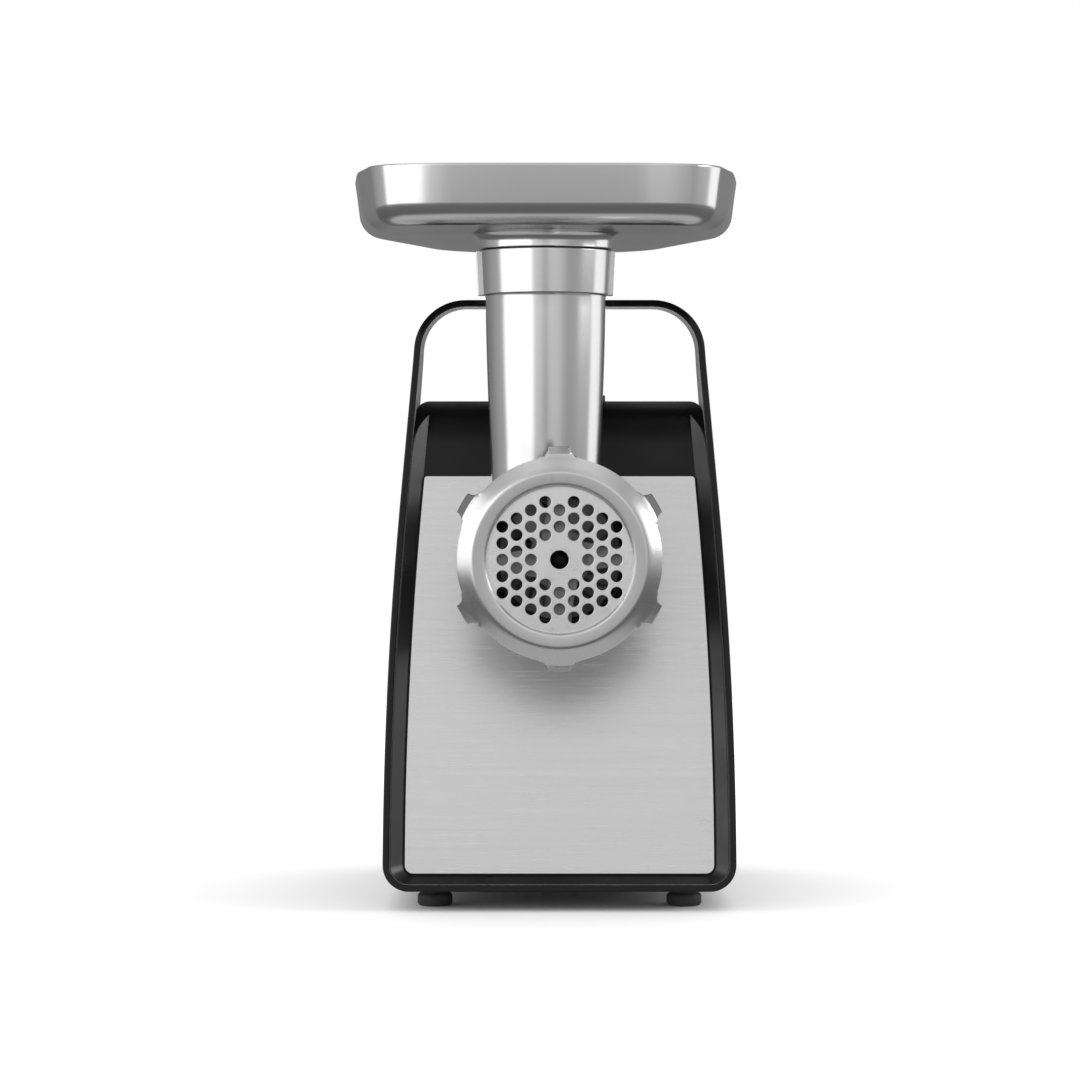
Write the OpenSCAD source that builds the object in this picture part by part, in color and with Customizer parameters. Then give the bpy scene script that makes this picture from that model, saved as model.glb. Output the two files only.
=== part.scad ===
// Electric meat grinder with a wrap-round front band that rises into a carrying handle.
// Z is up, the grinding outlet faces -Y, and the origin lies on the table under the body.

/* [Body] */
// Half width of the body at its foot
body_half = 74; // [68:0.5:84]
// Depth of the body from the front lip to the rear wall, at the table
body_depth = 190; // [186:1:230]
// Height of the top of the housing above the table
body_top = 214.2; // [212:0.2:224]
// Wall thickness of the housing and the fascia
wall = 2.6; // [2:0.1:3.2]
// Backward lean of the front, in degrees
lean = 8.3; // [7:0.1:9]
// Radius of the lower corners, seen from the front
foot_corner = 11; // [9.5:0.5:16]
// Radius of the upper corners of the housing
top_corner = 6; // [4:0.5:7]

/* [Band and handle] */
// Thickness of the band
band_t = 2.9; // [2.4:0.1:3.4]
// Height of the top of the handle
handle_top = 257.1; // [250:0.5:262]
// Outer radius of the handle's corners
handle_corner = 22; // [16:0.5:28]
// Depth of the handle at its top, front to back
handle_depth = 23; // [16:0.5:30]
// How far behind the middle of the body the band ends, negative is in front
band_back = -14; // [-20:0.5:-8]

/* [Front panel] */
// Depth of the panel's face behind the front lip
panel_depth = 4.6; // [3.5:0.1:6]
// Thickness of the steel panel
panel_t = 0.8; // [0.5:0.1:1.2]
// Height of the panel's upper edge
panel_top = 182.4; // [178:0.2:188]
// Distance from the outside of the band to the panel's side edge
panel_inset = 9.2; // [8.4:0.1:11]

/* [Feet] */
// Height of the rubber feet
foot_h = 8.2; // [6:0.1:10]
// Radius of a foot
foot_r = 7.4; // [6:0.1:9]
// Half spacing of the feet across the body
foot_x = 52.8; // [44:0.2:55]

/* [Grinding head] */
// Height of the screw's axis above the table
axis_z = 149; // [148:0.5:151]
// Radius of the hole plate
plate_r = 31; // [30.5:0.1:31.5]
// Thickness of the hole plate
plate_t = 5; // [4:0.1:6]
// Radius of each hole in the plate
plate_hole_r = 2.3; // [1.5:0.1:2.6]
// Spacing of the holes
plate_pitch = 6.45; // [6.2:0.05:6.5]
// Front face of the ring nut, in front of the middle of the body
nut_front = 196; // [192:1:204]
// Radius of the ring nut between its lugs
nut_r = 40.3; // [39:0.1:42]
// Radius over the lugs at the back of the ring nut
lug_r = 44.6; // [43:0.1:47]
// Inner radius of the barrel
barrel_r = 25.2; // [24:0.1:26]
// Pitch of the screw at its outlet
screw_pitch = 24; // [20:1:28]

/* [Feed tube and tray] */
// Sideways offset of the feed tube from the screw's axis
feed_x = -5.7; // [-8:0.1:0]
// Distance of the feed tube's axis in front of the middle of the body
feed_front = 126; // [122:1:130]
// Inner radius of the feed tube
feed_bore_r = 20.5; // [18:0.5:21]
// Height of the shoulder under the tube's collar
collar_z = 255.5; // [250:0.5:260]
// Height of the collar
collar_h = 18.5; // [14:0.5:22]
// Height of the tray's rim
tray_top = 304.7; // [300:0.5:312]
// Height of the underside of the tray
tray_floor = 281; // [279:0.5:286]
// Thickness of the tray's sheet
tray_t = 1.5; // [1:0.1:2]

/* [Gear train] */
// Teeth of every pinion
pinion_teeth = 12; // [12:1:13]
// Teeth of the gear driven by the motor
first_teeth = 60; // [56:1:62]
// Teeth of the middle gear
second_teeth = 45; // [43:1:46]
// Teeth of the output gear
output_teeth = 42; // [40:1:43]
// Backlash taken off each tooth's thickness
backlash = 0.22; // [0.16:0.02:0.3]

/* [Hidden] */
$fn = 96;

// Colours
gloss_black = [0.03, 0.03, 0.03];
soft_black = [0.09, 0.09, 0.09];
brushed = [0.74, 0.74, 0.74];
cast_alloy = [0.72, 0.72, 0.71];
dark_cast = [0.45, 0.45, 0.46];
steel = [0.62, 0.62, 0.64];
bronze = [0.72, 0.52, 0.28];
copper = [0.78, 0.42, 0.2];
nylon = [0.9, 0.89, 0.84];
board_green = [0.1, 0.35, 0.2];

// Clearances
seam = 0.3;
slip_fit = 0.2;
run_fit = 0.05;
seat_fit = 0.02;
screw_fit = 0.1;
weld = 0.2;

// Body
front_y = -body_depth / 2;
rear_y = body_depth / 2;
swell_r = 1790;
swell_z = foot_h + foot_corner;
knee_z = 172;
swell_slope = (knee_z - swell_z) / swell_r;
fascia_depth = panel_depth + panel_t;
shoulder_z = 195;
shoulder_r = (body_top - shoulder_z) / (1 - sin(lean));
lip_set = 0.8;
bezel_top = 207;
screw_axis = [0, axis_z];

function side_x(z) =
    z < knee_z
        ? body_half - pow(max(z - swell_z, 0), 2) / (2 * swell_r)
        : body_half - pow(knee_z - swell_z, 2) / (2 * swell_r) - (z - knee_z) * swell_slope;
function front_at(z) = front_y + (z - foot_h) * tan(lean);
function face_at(z, depth) = front_at(z) + depth / cos(lean);
function arc(cx, cy, r, a0, a1, n) =
    [for (i = [0:n]) let (a = a0 + (a1 - a0) * i / n) [cx + r * cos(a), cy + r * sin(a)]];
function mirrored(points) = [for (i = [len(points) - 1:-1:0]) [-points[i][0], points[i][1]]];

shoulder_y = face_at(shoulder_z, fascia_depth) + shoulder_r * cos(lean);
shoulder_mid = shoulder_z - shoulder_r * sin(lean);
cap_back = shoulder_y + 3;

// Right half of a front-view outline, from the foot to the top
function half_outline(inset, top, top_r, foot, low_r) =
    let (side_lo = foot + low_r)
    let (side_hi = top - top_r)
    let (tilt = atan(swell_slope))
    concat(
        arc(side_x(side_lo) - inset - low_r, side_lo, low_r, -90, 0, 6),
        [for (i = [1:11]) let (z = side_lo + (side_hi - side_lo) * i / 12) [side_x(z) - inset, z]],
        arc(side_x(side_hi) - inset - top_r, side_hi, top_r, tilt, 90, 8)
    );
function outline(inset, top, top_r, foot, low_r) =
    let (right = half_outline(inset, top, top_r, foot, low_r))
    concat(right, mirrored(right));

module section(inset, top, top_r, foot, low_r) {
    polygon(outline(inset, top, top_r, foot, low_r));
}

// Outline of the band, drawn in by t
module band_section(t) {
    section(t, handle_top - t, handle_corner - t, foot_h + t, foot_corner - t);
}

// Extrudes a profile drawn in X and Z, from y0 back to y1
module along_y(y0, y1) {
    translate([0, y1, 0])
        rotate([90, 0, 0])
            linear_extrude(y1 - y0)
                children();
}

// Extrudes a profile drawn in Y and Z, from x0 to x1
module along_x(x0, x1) {
    translate([x0, 0, 0])
        rotate([90, 0, 90])
            linear_extrude(x1 - x0)
                children();
}

// Cylinder along Y from y0 back to y1
module rod_y(at, y0, y1, r) {
    translate([at[0], y1, at[1]])
        rotate([90, 0, 0])
            cylinder(h = y1 - y0, r = r);
}

// Cylinder along X from x0 to x1, at [y, z]
module rod_x(at, x0, x1, r) {
    translate([x0, at[0], at[1]])
        rotate([0, 90, 0])
            cylinder(h = x1 - x0, r = r);
}

// Solid turned about an axis along Y, from points [radius, y]
module turned_y(at, points) {
    translate([at[0], 0, at[1]])
        rotate([-90, 0, 0])
            rotate_extrude()
                polygon(points);
}

// Work plane of the leaning front: x across, y up the slope, z outwards
module on_front() {
    translate([0, front_y, foot_h])
        rotate([90 - lean, 0, 0])
            children();
}

// Front-view outline laid on the leaning plane
module face_section(inset, top, top_r, foot, low_r) {
    polygon([for (p = outline(inset, top, top_r, foot, low_r)) [p[0], (p[1] - foot_h) / cos(lean)]]);
}

// ---------------------------------------------------------------- front frame

// Side view of the band: leaning front edge and swept rear edge
band_bend_z = shoulder_z;
band_side = concat(
    [[front_at(foot_h - 1), foot_h - 1], [front_at(handle_top + 1), handle_top + 1]],
    [for (i = [12:-1:0])
        let (u = i / 12)
        let (sweep = band_back - front_at(handle_top) - handle_depth)
        [band_back - sweep * u * u, band_bend_z + (handle_top + 1 - band_bend_z) * u]],
    [[band_back, foot_h - 1]]
);

module band() {
    intersection() {
        along_y(front_y - 1, band_back + 1)
            difference() {
                band_section(0);
                band_section(band_t);
            }
        along_x(-body_half - 1, body_half + 1)
            polygon(band_side);
    }
}

// Sloping surround between the lip and the panel
module bezel() {
    on_front()
        difference() {
            translate([0, 0, -fascia_depth - wall / 2])
                linear_extrude(fascia_depth + wall / 2 - lip_set)
                    face_section(band_t - weld, bezel_top, top_corner, foot_h + band_t - weld,
                        foot_corner - band_t + weld);
            hull() {
                translate([0, 0, -lip_set])
                    linear_extrude(0.01)
                        face_section(band_t + 0.4, bezel_top + 16, 1, foot_h + band_t + 0.4,
                            foot_corner - band_t - 0.4);
                translate([0, 0, -fascia_depth - 0.01])
                    linear_extrude(0.01)
                        face_section(panel_inset - 0.5, bezel_top + 16, 1, foot_h + panel_inset - 2,
                            foot_corner - 6.5);
            }
        }
}

function fascia_line(depth, r) = concat(
    [[face_at(foot_h + 1, depth), foot_h + 1]],
    arc(shoulder_y, shoulder_mid, r, 180 - lean, 90, 10),
    [[cap_back, shoulder_mid + r]]
);
function reversed(list) = [for (i = [len(list) - 1:-1:0]) list[i]];

// Wall behind the panel, bending back into the top
module fascia() {
    intersection() {
        along_x(-body_half, body_half)
            polygon(concat(
                fascia_line(fascia_depth, shoulder_r),
                reversed(fascia_line(fascia_depth + wall, shoulder_r - wall))
            ));
        along_y(front_y, cap_back + 1)
            section(band_t - weld, body_top, top_corner, foot_h + band_t - weld,
                foot_corner - band_t + weld);
    }
}

module front_frame() {
    color(gloss_black)
        difference() {
            union() {
                band();
                bezel();
                fascia();
                for (p = gearbox_ears)
                    rod_y(p, face_at(p[1], fascia_depth + wall / 2), cover_front - seam, post_r);
                for (side = [-1, 1])
                    translate([side * foot_x, front_foot_y, foot_h + band_t / 2])
                        cylinder(h = 12, r = frame_post_r);
            }
            rod_y(screw_axis, front_y - 1, cover_front - 1, socket_r + seam);
            lock_slot();
            for (p = gearbox_ears)
                rod_y(p, cover_front - gearbox_screw_bite - 2, cover_front, gearbox_screw_r + screw_fit);
            for (side = [-1, 1])
                translate([side * foot_x, front_foot_y, foot_h - 1])
                    cylinder(h = foot_screw_l, r = foot_screw_r + screw_fit);
        }
}

module front_panel() {
    color(brushed)
        difference() {
            on_front()
                translate([0, 0, -fascia_depth + 0.01])
                    linear_extrude(panel_t - 0.01)
                        face_section(panel_inset, panel_top, 1.3, foot_h + panel_inset - 1.4, 3.4);
            rod_y(screw_axis, front_y - 1, cover_front, socket_r + seam);
        }
}

// ---------------------------------------------------------------- rear housing

// Side view of the housing: the top falls towards the rear and both rear corners are round
rear_corner = 24;
rear_foot_corner = 9;
top_fall = 8;
fall_start = -20;

function shell_side(t) = concat(
    [[front_y - 1, shell_floor + t], [front_y - 1, body_top - t], [fall_start, body_top - t]],
    arc(rear_y - rear_corner, body_top - top_fall - rear_corner, rear_corner - t, 86, 0, 8),
    arc(rear_y - rear_foot_corner, shell_floor + rear_foot_corner, rear_foot_corner - t, 0, -90, 5)
);

// Plan of one side of the housing, which leans inwards and turns the rear corner
plan_half = body_half + 0.5;
plan_corner = 20;
plan_tilt = 3.2;

function shell_plan(t) = concat(
    [[-2 * body_half, front_y - 5], [plan_half - t, front_y - 5]],
    arc(plan_half - plan_corner, rear_y - plan_corner, plan_corner - t, 0, 90, 8),
    [[-2 * body_half, rear_y - t]]
);

module leaning_plan(t) {
    rotate([0, -plan_tilt, 0])
        translate([0, 0, -20])
            linear_extrude(body_top + 60)
                polygon(shell_plan(t));
}

module housing_form(t) {
    intersection() {
        along_y(front_y, rear_y)
            section(band_t + seam + t, body_top - t, top_corner - min(t, 2), shell_floor + t,
                foot_corner - band_t - seam - min(t, 2));
        along_x(-body_half, body_half)
            polygon(shell_side(t));
        leaning_plan(t);
        mirror([1, 0, 0])
            leaning_plan(t);
    }
}

function seam_at(z) = face_at(z, fascia_depth + wall + seam);

module housing_front_cut() {
    split_z = shoulder_z - 8;
    along_x(-body_half, body_half)
        polygon([
            [front_y - 5, -5],
            [seam_at(-5), -5],
            [seam_at(split_z), split_z],
            [cap_back + seam, split_z],
            [cap_back + seam, body_top + 5],
            [front_y - 5, body_top + 5]
        ]);
}

vent_count = 7;
vent_pitch = 9;
vent_h = 3.4;
vent_w = 56;
vent_z = 92;

module vent_slot(w, h) {
    hull()
        for (side = [-1, 1])
            translate([side * (w - h) / 2, 0])
                circle(d = h, $fn = 24);
}

module rear_vents() {
    for (i = [0:vent_count - 1])
        for (side = [-1, 1])
            rod_y([side * (vent_w - vent_h) / 2, vent_z + i * vent_pitch], rear_y - 10, rear_y + 5, vent_h / 2);
    for (i = [0:vent_count - 1])
        translate([-(vent_w - vent_h) / 2, rear_y - 10, vent_z + i * vent_pitch - vent_h / 2])
            cube([vent_w - vent_h, 15, vent_h]);
}

base_front = band_back + seam;
base_back = rear_y - 16;
base_half = 57;
base_t = band_t;
shell_floor = foot_h + band_t + seam;
rear_foot_y = base_back - 10;
front_foot_y = front_y + 26;
base_posts = [for (side = [-1, 1]) [side * (base_half - 6), base_front + 6]];
rear_posts = [for (side = [-1, 1]) [side * (base_half - 9), rear_foot_y]];
post_h = 12;
frame_post_r = 4;

module rear_housing() {
    color(soft_black)
        difference() {
            union() {
                difference() {
                    housing_form(0);
                    housing_form(wall);
                    housing_front_cut();
                    translate([-44, base_front + 13, foot_h])
                        cube([88, base_back - base_front - 26, shell_floor + wall - foot_h + 1]);
                }
                for (p = concat(base_posts, rear_posts))
                    translate([p[0], p[1], shell_floor + 0.4])
                        cylinder(h = post_h, r = 4.2);
                for (p = board_posts)
                    rod_x(p, -side_x(p[1]) + band_t + seam + wall / 2, board_x - board_t, 3);
            }
            rear_vents();
            rod_y(gland_at, rear_y - 10, rear_y + 2, gland_neck_r + seam);
            control_opening();
            for (side = [-1, 1])
                translate([side * foot_x, front_foot_y, foot_h])
                    cylinder(h = 20, r = frame_post_r + seam);
            for (p = concat(base_posts, rear_posts))
                translate([p[0], p[1], foot_h])
                    cylinder(h = foot_screw_l, r = foot_screw_r + screw_fit);
        }
}

module base_plate() {
    color(soft_black)
        difference() {
            union() {
                translate([-base_half + 8, base_front, foot_h])
                    cube([2 * base_half - 16, base_back - base_front, base_t]);
                translate([-base_half, base_front + 8, foot_h])
                    cube([2 * base_half, base_back - base_front - 16, base_t]);
                for (x = [-base_half + 8, base_half - 8])
                    for (y = [base_front + 8, base_back - 8])
                        translate([x, y, foot_h])
                            cylinder(h = base_t, r = 8);
            }
            for (p = concat(base_posts, rear_posts))
                translate([p[0], p[1], foot_h - 1])
                    cylinder(h = base_t + 2, r = foot_screw_r + screw_fit);
            for (i = [-4:4])
                translate([i * 8 - 1.5, base_front + 24, foot_h - 1])
                    cube([3, 36, base_t + 2]);
        }
}

// ---------------------------------------------------------------- feet

foot_screw_r = 1.5;
foot_screw_l = 16;
foot_places = concat(
    [for (side = [-1, 1]) [side * foot_x, front_foot_y]],
    rear_posts
);

module feet() {
    color(soft_black)
        for (p = foot_places)
            translate([p[0], p[1], 0])
                difference() {
                    rotate_extrude()
                        polygon([
                            [0, 0], [foot_r - 0.8, 0], [foot_r, 0.8], [foot_r, foot_h * 0.55],
                            [foot_r - 1.6, foot_h * 0.68], [foot_r - 1.6, foot_h], [0, foot_h]
                        ]);
                    translate([0, 0, -1])
                        cylinder(h = foot_h * 0.5 + 1, r = 3.6);
                    cylinder(h = foot_h + 1, r = foot_screw_r + screw_fit);
                }
}

module pan_screw(r, length, head_r, head_h) {
    difference() {
        union() {
            cylinder(h = length, r = r);
            translate([0, 0, -head_h])
                cylinder(h = head_h, r = head_r);
        }
        translate([0, 0, -head_h - 0.01])
            cylinder(h = head_h * 0.6, r = head_r * 0.45, $fn = 6);
    }
}

module foot_screws() {
    color(steel) {
        for (p = foot_places)
            translate([p[0], p[1], foot_h * 0.5])
                pan_screw(foot_screw_r, foot_screw_l - 4, 3.2, 2);
        for (p = base_posts)
            translate([p[0], p[1], foot_h])
                pan_screw(foot_screw_r, foot_screw_l - 4, 3.2, 2);
    }
}

// ---------------------------------------------------------------- drive socket and lock

socket_r = 31.5;
spigot_r = 27.2;
cover_front = -45;
socket_front = -82;
socket_ear_r = 35.6;
socket_ears = [for (a = [0, 180, 270]) [socket_ear_r * cos(a), axis_z + socket_ear_r * sin(a)]];
lock_travel = 4.5;
lock_pin_z = axis_z + 19;
lock_pin_r = 2.5;
arm_half = 4;
arm_front = -54;
arm_t = 3;

module lock_slot() {
    translate([-arm_half - seam, arm_front - 0.6, axis_z + 20])
        cube([2 * (arm_half + seam), arm_t + lock_travel + 1.4, body_top - axis_z - 15]);
}

module head_socket() {
    color(dark_cast)
        difference() {
            union() {
                rod_y(screw_axis, socket_front, cover_front, socket_r);
                for (p = socket_ears)
                    rod_y(p, cover_front - 4, cover_front, 5);
            }
            rod_y(screw_axis, socket_front - 1, cover_front + 1, spigot_r + slip_fit);
            translate([-arm_half - 1, arm_front - 1, axis_z])
                cube([2 * arm_half + 2, cover_front - arm_front + 2, socket_r + 2]);
            for (p = socket_ears)
                rod_y(p, cover_front - 5, cover_front + 1, 1.6);
        }
}

module socket_screws() {
    color(steel)
        for (p = socket_ears)
            translate([p[0], cover_front - 4, p[1]])
                rotate([-90, 0, 0])
                    pan_screw(1.5, 6.5, 2.8, 1.8);
}

pad_half = 19.6;
pad_lift = 0.3;
pad_t = 2.3;

// Height of the pad's mid thickness over a place along Y
function pad_rise(y, mid) = y < mid
    ? shoulder_mid + sqrt(max(pow(shoulder_r + pad_lift + pad_t / 2, 2) - pow(mid - y, 2), 1))
    : body_top + pad_lift + pad_t / 2;

module lock_slider() {
    pad_mid = shoulder_y - lock_travel;
    pad_end = max(pad_mid + 4, arm_front + arm_t);
    pad_start = max(134, 94 + asin(min((pad_mid - arm_front) / shoulder_r, 0.95)));
    arm_top = pad_rise(arm_front, pad_mid);
    color(gloss_black) {
        intersection() {
            along_x(-pad_half, pad_half)
                polygon(concat(
                    arc(pad_mid, shoulder_mid, shoulder_r + pad_lift, pad_start, 90, 8),
                    [[pad_end, body_top + pad_lift], [pad_end, body_top + pad_lift + pad_t]],
                    arc(pad_mid, shoulder_mid, shoulder_r + pad_lift + pad_t, 90, pad_start, 8)
                ));
            translate([0, 0, body_top - 20])
                linear_extrude(40)
                    translate([0, pad_mid - 6])
                        scale([1, 0.72])
                            circle(r = pad_half);
        }
        translate([-arm_half, arm_front, lock_pin_z - 4])
            cube([2 * arm_half, arm_t, arm_top - lock_pin_z + 4]);
        rod_y([0, lock_pin_z], spigot_back - 4.5, arm_front + 0.5, lock_pin_r);
    }
}

// Points round a wire at one station of a coil
function coil_ring(r, wire, a, rise, sides) = [
    for (j = [0:sides - 1])
        let (b = 360 * j / sides)
        [(r + wire * cos(b)) * cos(a), (r + wire * cos(b)) * sin(a), rise + wire * sin(b)]
];

// Compression spring standing on z = 0
module coil(r, wire, length, turns) {
    sides = 6;
    steps = 12 * turns;
    rings = [for (i = [0:steps])
        coil_ring(r, wire, 30 * i, wire + (length - 2 * wire) * i / steps, sides)];
    points = [for (ring = rings) for (p = ring) p];
    walls = [
        for (i = [0:steps - 1])
            for (j = [0:sides - 1])
                let (k = (j + 1) % sides)
                [i * sides + j, i * sides + k, (i + 1) * sides + k, (i + 1) * sides + j]
    ];
    first_cap = [for (j = [sides - 1:-1:0]) j];
    last_cap = [for (j = [0:sides - 1]) steps * sides + j];
    polyhedron(points = points, faces = concat(walls, [first_cap, last_cap]), convexity = 10);
}

spring_z = axis_z + 44;
spring_post_y = -38;

module lock_spring() {
    color(steel)
        translate([0, arm_front + arm_t + 0.1, spring_z])
            rotate([-90, 0, 0])
                coil(2.6, 0.4, spring_post_y - arm_front - arm_t - 0.2, 6);
}

// ---------------------------------------------------------------- gear train

pressure_angle = 25;
output_module = 1.5;
second_module = 1.25;
first_module = 1;
reach_output = output_module * (output_teeth + pinion_teeth) / 2;
reach_second = second_module * (second_teeth + pinion_teeth) / 2;
reach_first = first_module * (first_teeth + pinion_teeth) / 2;
train_angle = 40;
second_at = [reach_output * sin(train_angle), axis_z - reach_output * cos(train_angle)];
first_at = [0, second_at[1] - sqrt(reach_second * reach_second - second_at[0] * second_at[0])];
motor_at = [0, first_at[1] - reach_first];

function to_deg(x) = x * 180 / PI;
function involute(base, r) =
    let (t = sqrt(max(pow(r / base, 2) - 1, 0)))
    to_deg(t) - atan(t);

// Half angle of a tooth at radius r
function tooth_half(m, teeth, r) =
    let (pitch_r = m * teeth / 2)
    let (base = pitch_r * cos(pressure_angle))
    to_deg((PI * m / 2 - backlash) / (2 * pitch_r)) + involute(base, pitch_r) - involute(base, max(r, base));

function polar(r, a) = [r * cos(a), r * sin(a)];

// One tooth centred on angle a, from root to tip and back
function tooth(m, teeth, a) =
    let (pitch_r = m * teeth / 2)
    let (root = pitch_r - 1.2 * m)
    let (tip = pitch_r + 0.95 * m)
    let (low = max(root + 0.15 * m, pitch_r * cos(pressure_angle)))
    let (radii = [root, low, (low + pitch_r) / 2, pitch_r, (pitch_r + tip) / 2, tip])
    concat(
        [for (r = radii) polar(r, a - tooth_half(m, teeth, max(r, low)))],
        [for (i = [len(radii) - 1:-1:0]) polar(radii[i], a + tooth_half(m, teeth, max(radii[i], low)))]
    );

module gear_profile(m, teeth, turn) {
    polygon([for (i = [0:teeth - 1]) each tooth(m, teeth, turn + 360 * i / teeth)]);
}

// Spur gear at a place, with a tooth centred on the angle turn
module gear(at, m, teeth, turn, y0, y1) {
    along_y(y0, y1)
        translate(at)
            gear_profile(m, teeth, turn);
}

function bearing_to(a, b) = atan2(b[1] - a[1], b[0] - a[0]);
function gap_turn(angle) = angle + 180 + 180 / pinion_teeth;

output_face = [-41, -27];
second_face = [-25, -15];
first_face = [-13, -5];
case_back = 0;
case_t = 3;
cover_t = 3;
cover_back = cover_front + cover_t;
gear_wall = 2.6;
gear_room = 1.4;
output_tip = output_module * (output_teeth / 2 + 0.95);
second_tip = second_module * (second_teeth / 2 + 0.95);
first_tip = first_module * (first_teeth / 2 + 0.95);
motor_flange_r = 38;
gearbox_ears = [[-33, axis_z + 24], [33, axis_z + 24], [-38.5, first_at[1] - 12], [42.5, first_at[1] - 10]];
ear_r = 6.5;
post_r = 5;
gearbox_screw_bite = 12;
gearbox_screw_r = 2;
axle_r = 3;
second_axle_r = 4;

module gearbox_outline(t) {
    hull() {
        translate(screw_axis)
            circle(r = output_tip + gear_room + t);
        translate(second_at)
            circle(r = second_tip + gear_room + t);
        translate(first_at)
            circle(r = first_tip + gear_room + t);
        translate(motor_at)
            circle(r = motor_flange_r - gear_wall + t);
    }
}

module gearbox_cover() {
    color(cast_alloy)
        difference() {
            union() {
                along_y(cover_front, cover_back)
                    gearbox_outline(gear_wall);
                for (p = gearbox_ears)
                    rod_y(p, cover_front, cover_back, ear_r);
                rod_y(screw_axis, cover_front - 7, cover_back, 15);
            }
            rod_y(screw_axis, cover_front - 8, cover_back + 1, bearing_r + seat_fit);
            rod_y(second_at, cover_front + 1, cover_back + 1, second_axle_r + seat_fit);
            rod_y(first_at, cover_front + 1, cover_back + 1, axle_r + seat_fit);
            for (p = gearbox_ears)
                rod_y(p, cover_front - 1, cover_back + 1, gearbox_screw_r + screw_fit);
            for (p = socket_ears)
                rod_y(p, cover_front - 1, cover_back + 1, 1.6);
        }
}

module gearbox_case() {
    color(cast_alloy)
        difference() {
            union() {
                difference() {
                    along_y(cover_back, case_back)
                        gearbox_outline(gear_wall);
                    along_y(cover_back - 1, case_back - case_t)
                        gearbox_outline(0);
                }
                for (p = gearbox_ears)
                    rod_y(p, cover_back, case_back, ear_r);
                for (p = motor_posts)
                    rod_y(p, case_back - 1, stator_front, motor_post_r);
                rod_y(motor_at, case_back - case_t, case_back + 6, 12);
                rod_y(screw_axis, case_back - 9, case_back, 11);
                translate([-6, spring_post_y, axis_z + output_tip])
                    cube([12, 3, spring_z + 5 - axis_z - output_tip]);
            }
            rod_y(screw_axis, case_back - 10, case_back - 1.5, spindle_tail_r + bush_wall + seat_fit);
            rod_y(motor_at, case_back - case_t - 1, case_back + 7, 9 + seat_fit);
            rod_y(second_at, case_back - case_t - 1, case_back - 1, second_axle_r + seat_fit);
            rod_y(first_at, case_back - case_t - 1, case_back - 1, axle_r + seat_fit);
            for (p = gearbox_ears)
                rod_y(p, cover_back - 1, case_back + 1, gearbox_screw_r + screw_fit);
            for (p = motor_posts)
                rod_y(p, case_back + 4, stator_front + 1, motor_screw_r + screw_fit);
        }
}

module gearbox_screws() {
    color(steel)
        for (p = gearbox_ears)
            translate([p[0], case_back, p[1]])
                rotate([90, 0, 0])
                    pan_screw(gearbox_screw_r, case_back - cover_front + gearbox_screw_bite, 3.6, 2.6);
}

module gear_axles() {
    color(steel) {
        rod_y(second_at, cover_front + 1.1, case_back - 1.1, second_axle_r);
        rod_y(first_at, cover_front + 1.1, case_back - 1.1, axle_r);
    }
}

bearing_r = 12;
spindle_r = 9;
spindle_tail_r = 5;
bush_wall = 3;
spigot_back = -68;
drive_af = 11;

module output_bearing() {
    color(bronze) {
        difference() {
            rod_y(screw_axis, cover_front - 7, cover_back, bearing_r);
            rod_y(screw_axis, cover_front - 8, cover_back + 1, spindle_r + run_fit);
        }
        difference() {
            rod_y(screw_axis, case_back - 9, case_back - 1.6, spindle_tail_r + bush_wall);
            rod_y(screw_axis, case_back - 10, case_back - 1, spindle_tail_r + run_fit);
        }
    }
}

// Six-sided bar along Y, measured across its flats
module hex_y(at, y0, y1, across) {
    translate([at[0], y1, at[1]])
        rotate([90, 0, 0])
            cylinder(h = y1 - y0, r = across / 2 / cos(30), $fn = 6);
}

module output_spindle() {
    color(steel)
        difference() {
            union() {
                rod_y(screw_axis, spigot_back + 1.2, output_face[1], spindle_r);
                rod_y(screw_axis, output_face[1] - 1, case_back - 2, spindle_tail_r);
            }
            hex_y(screw_axis, spigot_back, spigot_back + 16, drive_af + 2 * slip_fit);
        }
}

module lightened(at, inner, outer, y0, y1) {
    for (i = [0:5])
        let (a = 60 * i + 30)
        rod_y([at[0] + (inner + outer) / 2 * cos(a), at[1] + (inner + outer) / 2 * sin(a)], y0, y1,
            (outer - inner) / 2.6);
}

module output_gear() {
    turn = bearing_to(screw_axis, second_at);
    color(steel)
        difference() {
            gear(screw_axis, output_module, output_teeth, turn, output_face[0], output_face[1]);
            rod_y(screw_axis, output_face[0] - 1, output_face[1] + 1, spindle_r + seat_fit);
            lightened(screw_axis, 13, 27, output_face[0] - 1, output_face[1] + 1);
        }
}

module second_gear() {
    color(nylon)
        difference() {
            union() {
                gear(second_at, second_module, second_teeth, bearing_to(second_at, first_at),
                    second_face[0], second_face[1]);
                gear(second_at, output_module, pinion_teeth, gap_turn(bearing_to(screw_axis, second_at)),
                    output_face[0] - 0.5, second_face[0] + 1);
            }
            rod_y(second_at, cover_front, case_back, second_axle_r + run_fit);
            lightened(second_at, 11, 24, second_face[0] + 2, second_face[1] + 1);
        }
}

module first_gear() {
    color(nylon)
        difference() {
            union() {
                gear(first_at, first_module, first_teeth, bearing_to(first_at, motor_at),
                    first_face[0], first_face[1]);
                gear(first_at, second_module, pinion_teeth, gap_turn(bearing_to(second_at, first_at)),
                    second_face[0], first_face[0] + 1);
                rod_y(first_at, output_face[0] - 0.5, second_face[0] + 1, 5);
                rod_y(first_at, first_face[1] - 1, case_back - case_t - 0.3, 5);
            }
            rod_y(first_at, cover_front, case_back, axle_r + run_fit);
            lightened(first_at, 10, 26, first_face[0] + 2, first_face[1] + 1);
        }
}

// ---------------------------------------------------------------- motor

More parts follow.
